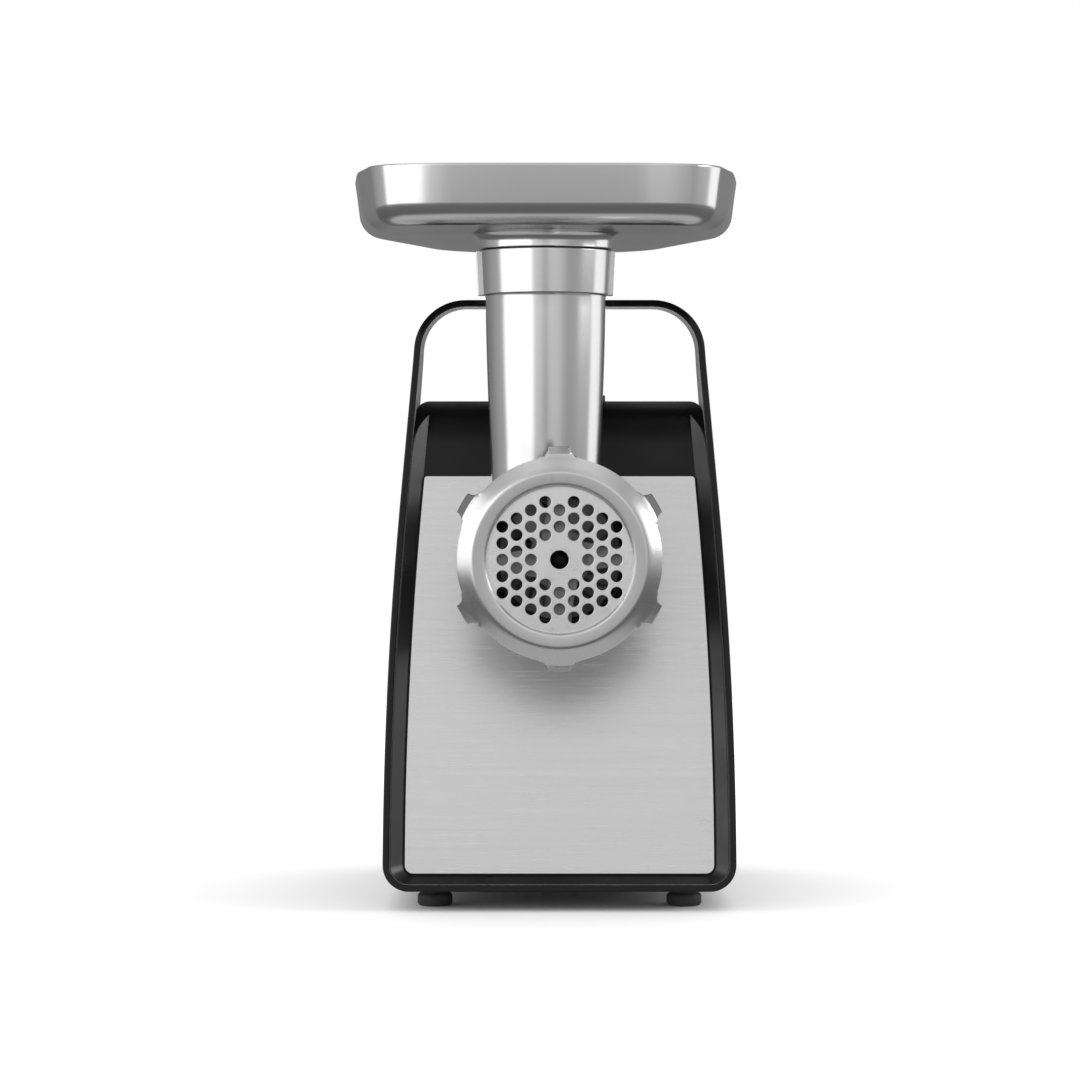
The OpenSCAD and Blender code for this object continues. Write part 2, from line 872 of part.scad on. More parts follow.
stator_front = 22;
stator_back = rear_y - 39;
stator_r = 36;
bore_r = 19.5;
rotor_r = 18.9;
shaft_r = 4;
nose_r = 3;
bearing_front = [case_back - 1, case_back + 5];
bearing_rear = [rear_y - 17.5, rear_y - 12.5];
motor_screw_r = 1.8;
motor_post_r = 3.4;
motor_post_reach = 32;
motor_posts = [for (a = [45:90:315])
    [motor_at[0] + motor_post_reach * cos(a), motor_at[1] + motor_post_reach * sin(a)]];
bracket_y = [rear_y - 17, rear_y - 13];
commutator_y = [rear_y - 31, rear_y - 20];

module motor_pinion() {
    color(steel)
        difference() {
            gear(motor_at, first_module, pinion_teeth, gap_turn(bearing_to(first_at, motor_at)),
                first_face[0] - 0.5, first_face[1] + 1);
            rod_y(motor_at, first_face[0] - 2, case_back, nose_r + seat_fit);
        }
}

module rotor_shaft() {
    color(steel)
        turned_y(motor_at, [
            [0, first_face[0] - 1], [nose_r, first_face[0] - 1], [nose_r, bearing_front[0] - 1.5],
            [shaft_r, bearing_front[0] - 1.5], [shaft_r, bearing_rear[1] + 2], [0, bearing_rear[1] + 2]
        ]);
}

module rotor_core() {
    color(steel)
        difference() {
            union() {
                rod_y(motor_at, stator_front, stator_back, rotor_r);
                rod_y(motor_at, stator_front - 4, commutator_y[0] - 0.3, 14.5);
            }
            rod_y(motor_at, 0, bearing_rear[1], shaft_r + seat_fit);
            for (i = [0:11])
                let (a = 30 * i)
                translate([motor_at[0], 0, motor_at[1]])
                    rotate([0, a, 0])
                        translate([15, stator_front - 1, -1.1])
                            cube([5, stator_back - stator_front + 2, 2.2]);
        }
}

module commutator() {
    color(copper)
        difference() {
            rod_y(motor_at, commutator_y[0], commutator_y[1], 10);
            rod_y(motor_at, commutator_y[0] - 1, commutator_y[1] + 1, shaft_r + seat_fit);
            for (i = [0:11])
                translate([motor_at[0], 0, motor_at[1]])
                    rotate([0, 30 * i, 0])
                        translate([8.6, commutator_y[0] - 1, -0.3])
                            cube([2, commutator_y[1] - commutator_y[0] + 2, 0.6]);
        }
}

fan_y = [7.5, 16.5];
fan_r = 27.5;

module cooling_fan() {
    color(soft_black)
        difference() {
            union() {
                rod_y(motor_at, fan_y[1] - 1.8, fan_y[1], fan_r);
                rod_y(motor_at, fan_y[0], fan_y[1], 8);
                for (i = [0:11])
                    translate([motor_at[0], 0, motor_at[1]])
                        rotate([0, 30 * i, 0])
                            translate([9, fan_y[0], -4])
                                rotate([0, 12, 0])
                                    cube([17, fan_y[1] - fan_y[0] - 1, 1.6]);
            }
            rod_y(motor_at, 0, 20, shaft_r + seat_fit);
        }
}

// Window for a field coil on one side of the stator
module coil_window(grow) {
    difference() {
        intersection() {
            circle(r = 28 + grow);
            translate([12 - grow, -19 - grow])
                square([20, 38 + 2 * grow]);
        }
        circle(r = bore_r + 1.2 - grow);
    }
}

module stator_core() {
    color(steel)
        difference() {
            along_y(stator_front, stator_back)
                translate(motor_at)
                    difference() {
                        circle(r = stator_r);
                        circle(r = bore_r);
                        for (turn = [0, 180])
                            rotate(turn)
                                coil_window(0);
                        for (turn = [0, 180])
                            rotate(turn)
                                translate([bore_r - 3, -6])
                                    square([6, 12]);
                    }
            for (p = motor_posts)
                rod_y(p, stator_front - 1, stator_back + 1, motor_screw_r + screw_fit);
        }
}

module field_windings() {
    color(copper)
        translate([motor_at[0], 0, motor_at[1]])
            for (turn = [0, 180])
                rotate([0, turn, 0])
                    difference() {
                        along_y(stator_front - 4, stator_back + 5)
                            coil_window(-0.4);
                        translate([0, stator_front - 5, -3])
                            cube([40, 70, 6]);
                    }
}

module motor_bracket() {
    color(cast_alloy)
        difference() {
            union() {
                rod_y(motor_at, bracket_y[0], bracket_y[1], 13);
                for (a = [45, 135])
                    translate([motor_at[0], bracket_y[0], motor_at[1]])
                        rotate([0, a, 0])
                            translate([-motor_post_reach, 0.5, -4])
                                cube([2 * motor_post_reach, bracket_y[1] - bracket_y[0] - 1, 8]);
                for (p = motor_posts) {
                    rod_y(p, stator_back, bracket_y[0] + 1, motor_post_r);
                    rod_y(p, bracket_y[0], bracket_y[1], 5);
                }
            }
            rod_y(motor_at, bracket_y[0] - 1, bracket_y[1] - 1.2, 8 + seat_fit);
            rod_y(motor_at, bracket_y[0] - 1, bracket_y[1] + 1, shaft_r + 1);
            for (p = motor_posts)
                rod_y(p, stator_back - 1, bracket_y[1] + 1, motor_screw_r + screw_fit);
        }
}

module motor_screws() {
    color(steel)
        for (p = motor_posts)
            translate([p[0], bracket_y[1], p[1]])
                rotate([90, 0, 0])
                    pan_screw(motor_screw_r, bracket_y[1] - case_back - 5, 3.2, 2.2);
}

module motor_bearings() {
    color(steel) {
        difference() {
            rod_y(motor_at, bearing_front[0], bearing_front[1], 9);
            rod_y(motor_at, bearing_front[0] - 1, bearing_front[1] + 1, shaft_r + run_fit);
        }
        difference() {
            rod_y(motor_at, bearing_rear[0], bracket_y[1] - 1.3, 8);
            rod_y(motor_at, bearing_rear[0] - 1, bearing_rear[1] + 1, shaft_r + run_fit);
        }
    }
}

brush_y = (commutator_y[0] + commutator_y[1]) / 2;

module brush_holders() {
    color(soft_black)
        for (side = [-1, 1])
            difference() {
                translate([motor_at[0] + side * 21, brush_y + 1.4, motor_at[1]])
                    cube([14, 13.8, 9], center = true);
                translate([motor_at[0] + side * 21, brush_y, motor_at[1]])
                    cube([18, 6.4, 5.4], center = true);
            }
}

module carbon_brushes() {
    color(soft_black)
        for (side = [-1, 1])
            translate([motor_at[0] + side * 17.2, brush_y, motor_at[1]])
                cube([13.8, 6.1, 5.1], center = true);
}

// ---------------------------------------------------------------- controls, board, inlet

panel_mid = [29, 96];
plate_size = [34, 58];
plate_x = side_x(panel_mid[1] + plate_size[1] / 2) - band_t - seam;
plate_depth = 2.6;
rocker_at = [panel_mid[0], panel_mid[1] + 11];
button_at = [panel_mid[0], panel_mid[1] - 15];
rocker_x = plate_x - 7.6;
rocker_r = 10.2;
rocker_half = 6.7;
rocker_throw = 7;
rocker_pin_r = 1.5;
button_r = 6;
button_travel = 2.5;

module rounded_plate(size, r) {
    union() {
        square([size[0] - 2 * r, size[1]], center = true);
        square([size[0], size[1] - 2 * r], center = true);
        for (x = [-1, 1])
            for (y = [-1, 1])
                translate([x * (size[0] / 2 - r), y * (size[1] / 2 - r)])
                    circle(r = r);
    }
}

module control_opening() {
    along_x(body_half / 2, body_half + 5)
        translate(panel_mid)
            rounded_plate([plate_size[0] + 2 * seam, plate_size[1] + 2 * seam], 6);
}

module control_panel() {
    color(gloss_black)
        difference() {
            along_x(plate_x - plate_depth, plate_x)
                translate(panel_mid)
                    rounded_plate(plate_size, 6);
            along_x(plate_x - plate_depth - 1, plate_x + 1)
                translate(rocker_at)
                    square([2 * rocker_half + 0.8, 2 * rocker_r - 0.8], center = true);
            rod_x(button_at, plate_x - plate_depth - 1, plate_x + 1, button_r + slip_fit);
        }
}

module rocker_switch_body() {
    color(soft_black)
        difference() {
            translate([rocker_x - 15, rocker_at[0] - 8.6, rocker_at[1] - 12.5])
                cube([plate_x - plate_depth - rocker_x + 15, 17.2, 25]);
            translate([rocker_x - 12, rocker_at[0] - rocker_half - 0.2, rocker_at[1] - 11])
                cube([30, 2 * rocker_half + 0.4, 22]);
            translate([rocker_x, rocker_at[0] + 10, rocker_at[1]])
                rotate([90, 0, 0])
                    cylinder(h = 20, r = rocker_pin_r + run_fit);
        }
}

module power_rocker() {
    color(gloss_black)
        translate([rocker_x, rocker_at[0], rocker_at[1]])
            rotate([0, -rocker_throw, 0]) {
                rotate([90, 0, 0])
                    translate([0, 0, -rocker_half])
                        linear_extrude(2 * rocker_half)
                            intersection() {
                                circle(r = rocker_r);
                                polygon([[-4, -9], [-4, 9], [8.9, 12], [8.1, 0], [8.9, -12]]);
                            }
                rotate([90, 0, 0])
                    translate([0, 0, -rocker_half - 1.6])
                        cylinder(h = 2 * rocker_half + 3.2, r = rocker_pin_r);
            }
}

button_back = plate_x - plate_depth - 6;

module button_switch_body() {
    color(soft_black)
        difference() {
            translate([button_back - 10, button_at[0] - 9, button_at[1] - 9])
                cube([plate_x - plate_depth - button_back + 10, 18, 18]);
            rod_x(button_at, button_back - 4, plate_x, button_r + 1.2);
        }
}

module reverse_button() {
    color(gloss_black) {
        rod_x(button_at, plate_x - plate_depth - 2, plate_x + 1.6, button_r);
        rod_x(button_at, plate_x - plate_depth - 2, plate_x - plate_depth - 0.3, button_r + 0.8);
    }
}

module button_spring() {
    color(steel)
        translate([button_back - 3.9, button_at[0], button_at[1]])
            rotate([0, 90, 0])
                coil(4, 0.4, plate_x - plate_depth - 2 - button_back + 3.8, 4);
}

board_x = -body_half + 16;
board_t = 1.6;
board_at = [34, 136];
board_size = [52, 60];
board_posts = [for (y = [-20, 20]) for (z = [-24, 24]) [board_at[0] + y, board_at[1] + z]];

module circuit_board() {
    color(board_green)
        union() {
            along_x(board_x - board_t, board_x)
                translate(board_at)
                    square(board_size, center = true);
            translate([board_x, board_at[0] - 20, board_at[1] + 4])
                cube([14, 16, 20]);
            rod_x([board_at[0] + 12, board_at[1] - 12], board_x, board_x + 16, 8);
            translate([board_x, board_at[0] - 20, board_at[1] - 20])
                cube([9, 22, 13]);
        }
}

gland_at = [-30, 40];
gland_neck_r = 5;

module cable_gland() {
    color(soft_black)
        difference() {
            union() {
                rod_y(gland_at, rear_y + 0.1, rear_y + 2.4, 8);
                rod_y(gland_at, rear_y - wall - 2.4, rear_y + 0.2, gland_neck_r);
                rod_y(gland_at, rear_y - wall - 2.4, rear_y - wall - 0.4, gland_neck_r + 1.6);
            }
            rod_y(gland_at, rear_y - 10, rear_y + 5, 3.2);
        }
}

// ---------------------------------------------------------------- grinding head

feed_y = -feed_front;
plate_front = -nut_front + 3;
plate_back = plate_front + plate_t;
barrel_front = plate_back - 2;
rear_wall_front = spigot_back - 8;
flange_front = socket_front - 4;
thread_r = plate_r + 3.6;
thread_l = 18;
cavity_r = plate_r - 1.4;
cavity_back = plate_back + 17;
bush_r = 11;
journal_r = 9;
collar_top = collar_z + collar_h;
spout_r = 23.8;
tube_top_r = 24.5;
wing_reach = 4;

function tube_r(z) = tube_top_r - 2.6 * pow((collar_z - z) / 75, 1.6);

module feed_tube_form() {
    low_z = axis_z + 32;
    steps = 8;
    translate([feed_x, feed_y, 0])
        rotate_extrude()
            polygon(concat(
                [[0, axis_z], [tube_r(low_z), axis_z]],
                [for (i = [0:steps])
                    let (z = low_z + (collar_z - low_z) * i / steps)
                    [tube_r(z), z]],
                [
                    [tube_top_r + 1.3, collar_z], [tube_top_r + 2.2, collar_top - 0.6],
                    [tube_top_r + 1.6, collar_top], [0, collar_top]
                ]
            ));
}

module head_barrel() {
    color(cast_alloy)
        difference() {
            union() {
                turned_y(screw_axis, [
                    [0, spigot_back], [spigot_r - 0.8, spigot_back], [spigot_r, spigot_back - 0.8],
                    [spigot_r, socket_front], [socket_r, socket_front - 0.2], [socket_r, flange_front],
                    [barrel_r + 4.2, flange_front - 2.5], [barrel_r + 5.2, barrel_front + thread_l + 8],
                    [thread_r, barrel_front + thread_l + 1], [thread_r, barrel_front + 1],
                    [thread_r - 1, barrel_front], [0, barrel_front]
                ]);
                feed_tube_form();
                along_y(feed_y - 1, feed_y + 3)
                    polygon([
                        [feed_x - tube_top_r - wing_reach + 0.9, collar_z],
                        [feed_x + tube_top_r + wing_reach - 0.9, collar_z],
                        [feed_x + tube_top_r + wing_reach, collar_top],
                        [feed_x - tube_top_r - wing_reach, collar_top]
                    ]);
            }
            turned_y(screw_axis, [
                [0, rear_wall_front], [barrel_r, rear_wall_front], [barrel_r, cavity_back],
                [cavity_r, cavity_back - 3], [cavity_r, plate_back], [plate_r + 0.12, plate_back],
                [plate_r + 0.12, barrel_front - 1], [0, barrel_front - 1]
            ]);
            rod_y(screw_axis, rear_wall_front - 1, spigot_back + 1, bush_r + seat_fit);
            translate([feed_x, feed_y, axis_z])
                cylinder(h = collar_top - axis_z + 1, r = feed_bore_r);
            translate([feed_x, feed_y, spout_foot - 0.3])
                cylinder(h = collar_top - spout_foot + 2, r = spout_r + slip_fit);
            rod_y([0, lock_pin_z], spigot_back - 5.5, spigot_back + 1, lock_pin_r + slip_fit);
        }
}

module barrel_bush() {
    color(nylon)
        difference() {
            rod_y(screw_axis, rear_wall_front, spigot_back, bush_r);
            rod_y(screw_axis, rear_wall_front - 1, spigot_back + 1, journal_r + run_fit);
        }
}

screw_back = rear_wall_front - 1;
screw_front = plate_back + 16;
screw_r = barrel_r - 0.5;
screw_core_back = 9.5;
screw_core_front = 12.5;
square_side = 9.6;
pin_r = 3.58;
pin_front = plate_front + 2.2;
pin_bore_r = 3.65;

// Turn of the thread at distance s from the back, in degrees: the pitch falls towards the outlet
screw_length = screw_back - screw_front;
pitch_gain = 1.45;
function screw_turn(s) =
    360 / screw_pitch * (s - (pitch_gain - 1) / pitch_gain * (s - s * s / (2 * screw_length)));
function screw_core(s) = screw_core_back + (screw_core_front - screw_core_back) * s / screw_length;

// One station of the screw: the core's points and four that rise over the thread
function screw_ring(s) =
    let (core = screw_core(s))
    let (turn = screw_turn(s))
    let (half = 26)
    concat(
        [polar(core, turn - half), polar(screw_r, turn - half * 0.6),
            polar(screw_r, turn), polar(screw_r, turn + half * 0.6), polar(core, turn + half)],
        [for (i = [1:11]) polar(core, turn + half + (360 - 2 * half) * i / 12)]
    );

module auger_thread() {
    steps = 72;
    count = 16;
    rings = [for (i = [0:steps])
        let (s = screw_length * i / steps)
        [for (p = screw_ring(s)) [p[0], screw_back - s, axis_z + p[1]]]];
    walls = [
        for (i = [0:steps - 1])
            for (j = [0:count - 1])
                let (k = (j + 1) % count)
                each [
                    [i * count + j, (i + 1) * count + j, (i + 1) * count + k],
                    [i * count + j, (i + 1) * count + k, i * count + k]
                ]
    ];
    polyhedron(
        points = [for (ring = rings) for (p = ring) p],
        faces = concat(
            walls,
            [[for (j = [0:count - 1]) j], [for (j = [count - 1:-1:0]) steps * count + j]]
        ),
        convexity = 10
    );
}

module square_y(at, y0, y1, side) {
    translate([at[0] - side / 2, y0, at[1] - side / 2])
        cube([side, y1 - y0, side]);
}

module auger() {
    color(cast_alloy) {
        auger_thread();
        rod_y(screw_axis, screw_back - 0.5, spigot_back + 0.5, journal_r);
        hex_y(screw_axis, spigot_back, spigot_back + 13, drive_af);
        rod_y(screw_axis, screw_front - 7.5, screw_front + 0.5, screw_core_front - 0.5);
        square_y(screw_axis, plate_back + 1, screw_front, square_side);
        rod_y(screw_axis, pin_front + 1.6, screw_front, pin_r);
        translate([0, pin_front + 1.6, axis_z])
            rotate([90, 0, 0])
                cylinder(h = 1.6, r1 = pin_r, r2 = pin_r - 2.2);
    }
}

knife_back = screw_front - 7.8;
blade_t = 4;
blade_reach = cavity_r - 1;

module knife() {
    color(steel)
        difference() {
            union() {
                rod_y(screw_axis, plate_back + 0.3, knife_back, 9.5);
                for (turn = [0:90:270])
                    along_y(plate_back + 0.1, plate_back + blade_t)
                        translate(screw_axis)
                            rotate(turn)
                                intersection() {
                                    circle(r = blade_reach);
                                    polygon([
                                        [6, -5], [blade_reach + 1, -1.5], [blade_reach + 1, 5],
                                        [blade_reach - 8, 4.6], [12, 6.5], [6, 7.5]
                                    ]);
                                }
            }
            square_y(screw_axis, plate_back - 1, knife_back + 1, square_side + 0.2);
        }
}

// Hexagonal grid: rings two to four, without the two outer corners on the vertical
function hex_ring(i, j) = max(abs(i), abs(j), abs(i + j));
plate_holes = [
    for (i = [-4:4])
        for (j = [-4:4])
            let (ring = hex_ring(i, j))
            if (ring >= 2 && ring <= 4 && !(i == 0 && abs(j) == 4))
                [i * plate_pitch * cos(30), axis_z + (j + i / 2) * plate_pitch]
];

module hole_plate() {
    color(steel)
        difference() {
            rod_y(screw_axis, plate_front, plate_back, plate_r);
            for (p = plate_holes)
                rod_y(p, plate_front - 1, plate_back + 1, plate_hole_r);
            rod_y(screw_axis, plate_front - 1, plate_back + 1, pin_bore_r);
        }
}

nut_back = -nut_front + 25;
nut_open_r = 28.7;
nut_face_r = 34.3;
nut_edge = 4;

// Cross-section of the nut's grip: a round with six lugs run out in hollow curves
module nut_grip() {
    lug_half = 4.3;
    hollow = 4;
    circle(r = nut_r);
    for (a = [30:60:330])
        rotate(a)
            difference() {
                translate([nut_r - 4, -lug_half - hollow])
                    square([12, 2 * (lug_half + hollow)]);
                for (side = [-1, 1])
                    translate([nut_r + hollow - 0.3, side * (lug_half + hollow)])
                        circle(r = hollow);
                for (side = [-1, 1])
                    translate([nut_r + hollow - 0.3, side * (lug_half + hollow) - hollow])
                        square([12, 2 * hollow]);
            }
}

module ring_nut() {
    color(cast_alloy)
        difference() {
            intersection() {
                along_y(-nut_front, nut_back)
                    translate(screw_axis)
                        nut_grip();
                turned_y(screw_axis, [
                    [0, -nut_front], [nut_face_r, -nut_front], [nut_r, -nut_front + nut_edge],
                    [nut_r + 1, -nut_front + nut_edge + 0.6], [lug_r, nut_back - 5],
                    [lug_r, nut_back - 1], [lug_r - 1, nut_back], [0, nut_back]
                ]);
            }
            turned_y(screw_axis, [
                [0, -nut_front - 1], [nut_open_r, -nut_front - 1], [nut_open_r, plate_front - 0.05],
                [thread_r + 0.1, plate_front - 0.05], [thread_r + 0.1, nut_back + 1], [0, nut_back + 1]
            ]);
        }
}

// ---------------------------------------------------------------- feed tray

spout_foot = collar_z + 3;
tray_front_y = feed_y - 62;

// Circles that span the tray's outline: [half spacing, y, radius]
tray_rounds = [
    [54.5, tray_front_y + 14, 14],
    [46.6, tray_front_y + 48, 30],
    [39.5, tray_front_y + 93, 40],
    [6, tray_front_y + 152, 55]
];
// Levels of the tray's wall: [height above the floor, draw-in]
tray_h = tray_top - tray_floor;
tray_levels = [
    [0, 10.5], [0.7, 7.6], [2.2, 5], [4.4, 3.3], [7.6, 2.2], [tray_h - 0.8, 0], [tray_h, 0.2]
];

module tray_form(t, top_up) {
    hull()
        for (level = tray_levels)
            for (c = tray_rounds)
                for (side = [-1, 1])
                    translate([
                        feed_x + side * c[0], c[1],
                        tray_floor + level[0] + (level[0] > tray_h - 1 ? top_up : t)
                    ])
                        cylinder(h = 0.01, r = c[2] - level[1] - t, $fn = 48);
}

module feed_tray() {
    neck_r = tube_top_r + 2.8;
    flare = 7.5;
    color(brushed)
        difference() {
            union() {
                difference() {
                    tray_form(0, 0);
                    tray_form(tray_t, 1.2);
                }
                translate([feed_x, feed_y, 0])
                    rotate_extrude()
                        polygon(concat(
                            [[0, spout_foot], [spout_r, spout_foot], [spout_r, collar_top + seam],
                                [neck_r, collar_top + seam]],
                            arc(neck_r + flare, tray_floor - flare + 0.6, flare, 180, 90, 8),
                            [[neck_r + flare, tray_floor + tray_t], [0, tray_floor + tray_t]]
                        ));
            }
            translate([feed_x, feed_y, spout_foot - 1])
                cylinder(h = tray_floor - spout_foot + 10, r = spout_r - 2);
        }
}

front_frame();
front_panel();
rear_housing();
base_plate();
feet();
foot_screws();
head_socket();
socket_screws();
lock_slider();
lock_spring();
gearbox_cover();
gearbox_case();
gearbox_screws();
gear_axles();
output_bearing();
output_spindle();
output_gear();
second_gear();
first_gear();
motor_pinion();
rotor_shaft();
rotor_core();
commutator();
cooling_fan();
stator_core();
field_windings();
motor_bracket();
motor_screws();
motor_bearings();
brush_holders();
carbon_brushes();
control_panel();
rocker_switch_body();
power_rocker();
button_switch_body();
reverse_button();
button_spring();
circuit_board();
cable_gland();
head_barrel();
barrel_bush();
auger();
knife();
hole_plate();
ring_nut();
feed_tray();
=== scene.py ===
"""Dresses the electric meat grinder: its hoop, steel front, grinding head, tray and the rest of its body."""

from __future__ import annotations

import logging
import math
from dataclasses import dataclass, field
from enum import Enum
from typing import Callable, Iterable, Sequence

import bmesh
import bpy
from mathutils import Matrix, Vector


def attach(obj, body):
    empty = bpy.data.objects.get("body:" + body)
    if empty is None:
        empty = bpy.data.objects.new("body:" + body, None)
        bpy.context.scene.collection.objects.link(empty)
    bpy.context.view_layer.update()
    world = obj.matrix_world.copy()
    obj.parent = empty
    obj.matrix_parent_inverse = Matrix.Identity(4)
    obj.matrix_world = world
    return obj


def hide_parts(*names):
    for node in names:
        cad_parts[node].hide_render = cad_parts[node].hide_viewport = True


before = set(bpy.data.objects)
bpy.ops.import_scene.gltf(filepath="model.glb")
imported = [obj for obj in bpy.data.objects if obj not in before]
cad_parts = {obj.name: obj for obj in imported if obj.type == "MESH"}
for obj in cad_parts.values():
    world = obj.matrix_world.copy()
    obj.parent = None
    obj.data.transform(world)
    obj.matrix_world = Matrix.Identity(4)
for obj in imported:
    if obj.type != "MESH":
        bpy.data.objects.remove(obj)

log = logging.getLogger("grinder")

MM = 0.001
SMOOTH_LIMIT = math.radians(32)
AXIS_Z = 149.0
FEED_AT = (-5.7, -126.0)
X_AXIS, Y_AXIS, Z_AXIS = Vector((1, 0, 0)), Vector((0, 1, 0)), Vector((0, 0, 1))
SCREW_AXIS = Vector((0, 0, AXIS_Z))
FEED_AXIS = Vector((*FEED_AT, 0))

Mesh = bmesh.types.BMesh
Edge = bmesh.types.BMEdge
Vert = bmesh.types.BMVert
Node = bpy.types.Node
Socket = bpy.types.NodeSocket
Piece = bpy.types.Object
Colour = tuple[float, float, float, float]
Pair = tuple[float, float]
Point = Sequence[float]
Move = Callable[[Vector], Vector]


# ---------------------------------------------------------------- nodes


class Operation(Enum):
    """What a Math node does with its values."""

    ADD = "ADD"
    TIMES = "MULTIPLY"
    TIMES_AND_ADD = "MULTIPLY_ADD"
    POWER = "POWER"
    LARGER = "MAXIMUM"
    SIZE = "ABSOLUTE"
    BELOW = "LESS_THAN"


class Wiring:
    """A node tree with short calls for its nodes and links."""

    def __init__(self, owner: bpy.types.Material | bpy.types.World) -> None:
        """Empties the owner's tree.

        Args:
            owner: The material or world to fill.
        """
        owner.use_nodes = True
        self.tree = owner.node_tree
        self.tree.nodes.clear()

    def give(self, socket: Socket, value: object) -> None:
        """Sets a socket, or links it where the value is a socket itself.

        Args:
            socket: The socket to fill.
            value: A number, a colour or another node's socket.
        """
        if isinstance(value, Socket):
            self.tree.links.new(value, socket)
        else:
            socket.default_value = value

    def feed(self, node: Node, **values: object) -> None:
        """Fills a node's sockets by name; an underscore stands for a space."""
        for name, value in values.items():
            self.give(node.inputs[name.replace("_", " ")], value)

    def node(self, kind: str, **values: object) -> Node:
        """Adds a node.

        Args:
            kind: The node's type, without ShaderNode.
            **values: What its sockets get.

        Returns:
            The node.
        """
        node = self.tree.nodes.new("ShaderNode" + kind)
        self.feed(node, **values)
        return node

    def calc(self, operation: Operation, *values: object, held: bool = False) -> Socket:
        """Adds a Math node.

        Args:
            operation: What it does.
            *values: Its numbers or sockets, in order.
            held: Whether the result is held between 0 and 1.

        Returns:
            The result's socket.
        """
        node = self.node("Math")
        node.operation = operation.value
        node.use_clamp = held
        for socket, value in zip(node.inputs, values):
            self.give(socket, value)
        return node.outputs[0]

    def ramp(self, value: Socket, reach: Pair, ends: tuple[object, object], soft: bool = True) -> Socket:
        """Spreads a value over another range.

        Args:
            value: The value.
            reach: Where it starts and ends.
            ends: The numbers or sockets that it gives there.
            soft: Whether it eases in and out.

        Returns:
            The result's socket.
        """
        node = self.node(
            "MapRange", Value=value, From_Min=reach[0], From_Max=reach[1], To_Min=ends[0], To_Max=ends[1]
        )
        node.interpolation_type = "SMOOTHSTEP" if soft else "LINEAR"
        return node.outputs["Result"]

    def rays(self) -> tuple[Socket, Socket, Socket]:
        """Tells the kinds of rays apart.

        Returns:
            Sockets for the camera rays, the glossy rays, and both with the transmission rays.
        """
        path = self.node("LightPath")
        camera, glossy, through = (path.outputs[f"Is {name} Ray"] for name in ("Camera", "Glossy", "Transmission"))
        both = self.calc(Operation.ADD, camera, glossy, held=True)
        return camera, glossy, self.calc(Operation.ADD, both, through, held=True)


class Graph(Wiring):
    """A material's nodes, with the patterns that the finishes need."""

    pattern_reach: Pair = (0.3, 0.7)

    def __init__(self, material: bpy.types.Material) -> None:
        """Empties the material's tree and adds a shader and an output.

        Args:
            material: The material to fill.
        """
        super().__init__(material)
        self.shader = self.node("BsdfPrincipled")
        self.output = self.node("OutputMaterial", Surface=self.shader.outputs["BSDF"])
        self.place = self.node("TexCoord").outputs["Object"]

    def set(self, **values: object) -> None:
        """Fills the shader's own sockets."""
        self.feed(self.shader, **values)

    def grain(self, scale: float, stretch: Point = (1, 1, 1), detail: float = 3, shift: Point = (0, 0, 0)) -> Socket:
        """Adds noise on object coordinates, with cells per metre, a squeeze by axis and a shift in metres."""
        mapping = self.node("Mapping", Vector=self.place, Scale=stretch, Location=shift)
        return self.node("TexNoise", Vector=mapping.outputs["Vector"], Scale=scale, Detail=detail).outputs["Fac"]

    def spread(self, value: Socket, low: float, high: float) -> Socket:
        """Spreads a pattern's middle range from a low to a high number."""
        return self.ramp(value, self.pattern_reach, (low, high), soft=False)

    def colour(self, value: Socket, first: Colour, second: Colour) -> None:
        """Drives the base colour with a blend of two colours.

        Args:
            value: The pattern that blends them.
            first: The colour where it is low.
            second: The colour where it is high.
        """
        blend = self.node("ValToRGB", Fac=self.spread(value, 0, 1))
        for stop, colour in zip(blend.color_ramp.elements, (first, second)):
            stop.color = colour
        self.set(Base_Color=blend.outputs["Color"])

    def roughen(self, value: Socket, low: float, high: float) -> None:
        """Drives the roughness with a pattern."""
        self.set(Roughness=self.spread(value, low, high))

    def relief(self, value: Socket, height: float, strength: float = 1.0) -> None:
        """Lets a share of a pattern's relief show, whose height is in metres."""
        bump = self.node("Bump", Height=value, Distance=height, Strength=strength)
        self.set(Normal=bump.outputs["Normal"])


# ---------------------------------------------------------------- finishes


def linear(level: float) -> float:
    """Turns a display level from 0 to 255 into a linear value from 0 to 1."""
    c = level / 255
    return c / 12.92 if c <= 0.04045 else ((c + 0.055) / 1.055) ** 2.4


def shade(*levels: float) -> Colour:
    """Returns the opaque linear colour of three display levels; one level alone gives a grey."""
    red, green, blue = levels if len(levels) == 3 else levels * 3
    return (linear(red), linear(green), linear(blue), 1.0)


@dataclass(frozen=True)
class Finish:
    """A surface finish that any piece can wear.

    Attributes:
        name: The material's name.
        tone: The finish's main colour, linear.
        roughness: The mean roughness.
    """

    name: str
    tone: Colour
    roughness: float = 0.4

    def darker(self, share: float) -> Colour:
        """Returns the main colour dimmed to a share of its strength."""
        return (self.tone[0] * share, self.tone[1] * share, self.tone[2] * share, 1.0)

    def cloud(self, graph: Graph, scale: float, share: float, detail: float = 3) -> None:
        """Lets the colour drift, in clouds per metre, between its main tone and one dimmed to a share of it."""
        graph.colour(graph.grain(scale, detail=detail), self.darker(share), self.tone)

    def dress(self, graph: Graph) -> None:
        """Sets up the material's nodes."""
        graph.set(Roughness=self.roughness)

    def material(self) -> bpy.types.Material:
        """Finds the finish's material, or makes it on first use.

        Returns:
            The material.
        """
        found = bpy.data.materials.get(self.name)
        if found is None:
            found = bpy.data.materials.new(self.name)
            self.dress(Graph(found))
        return found


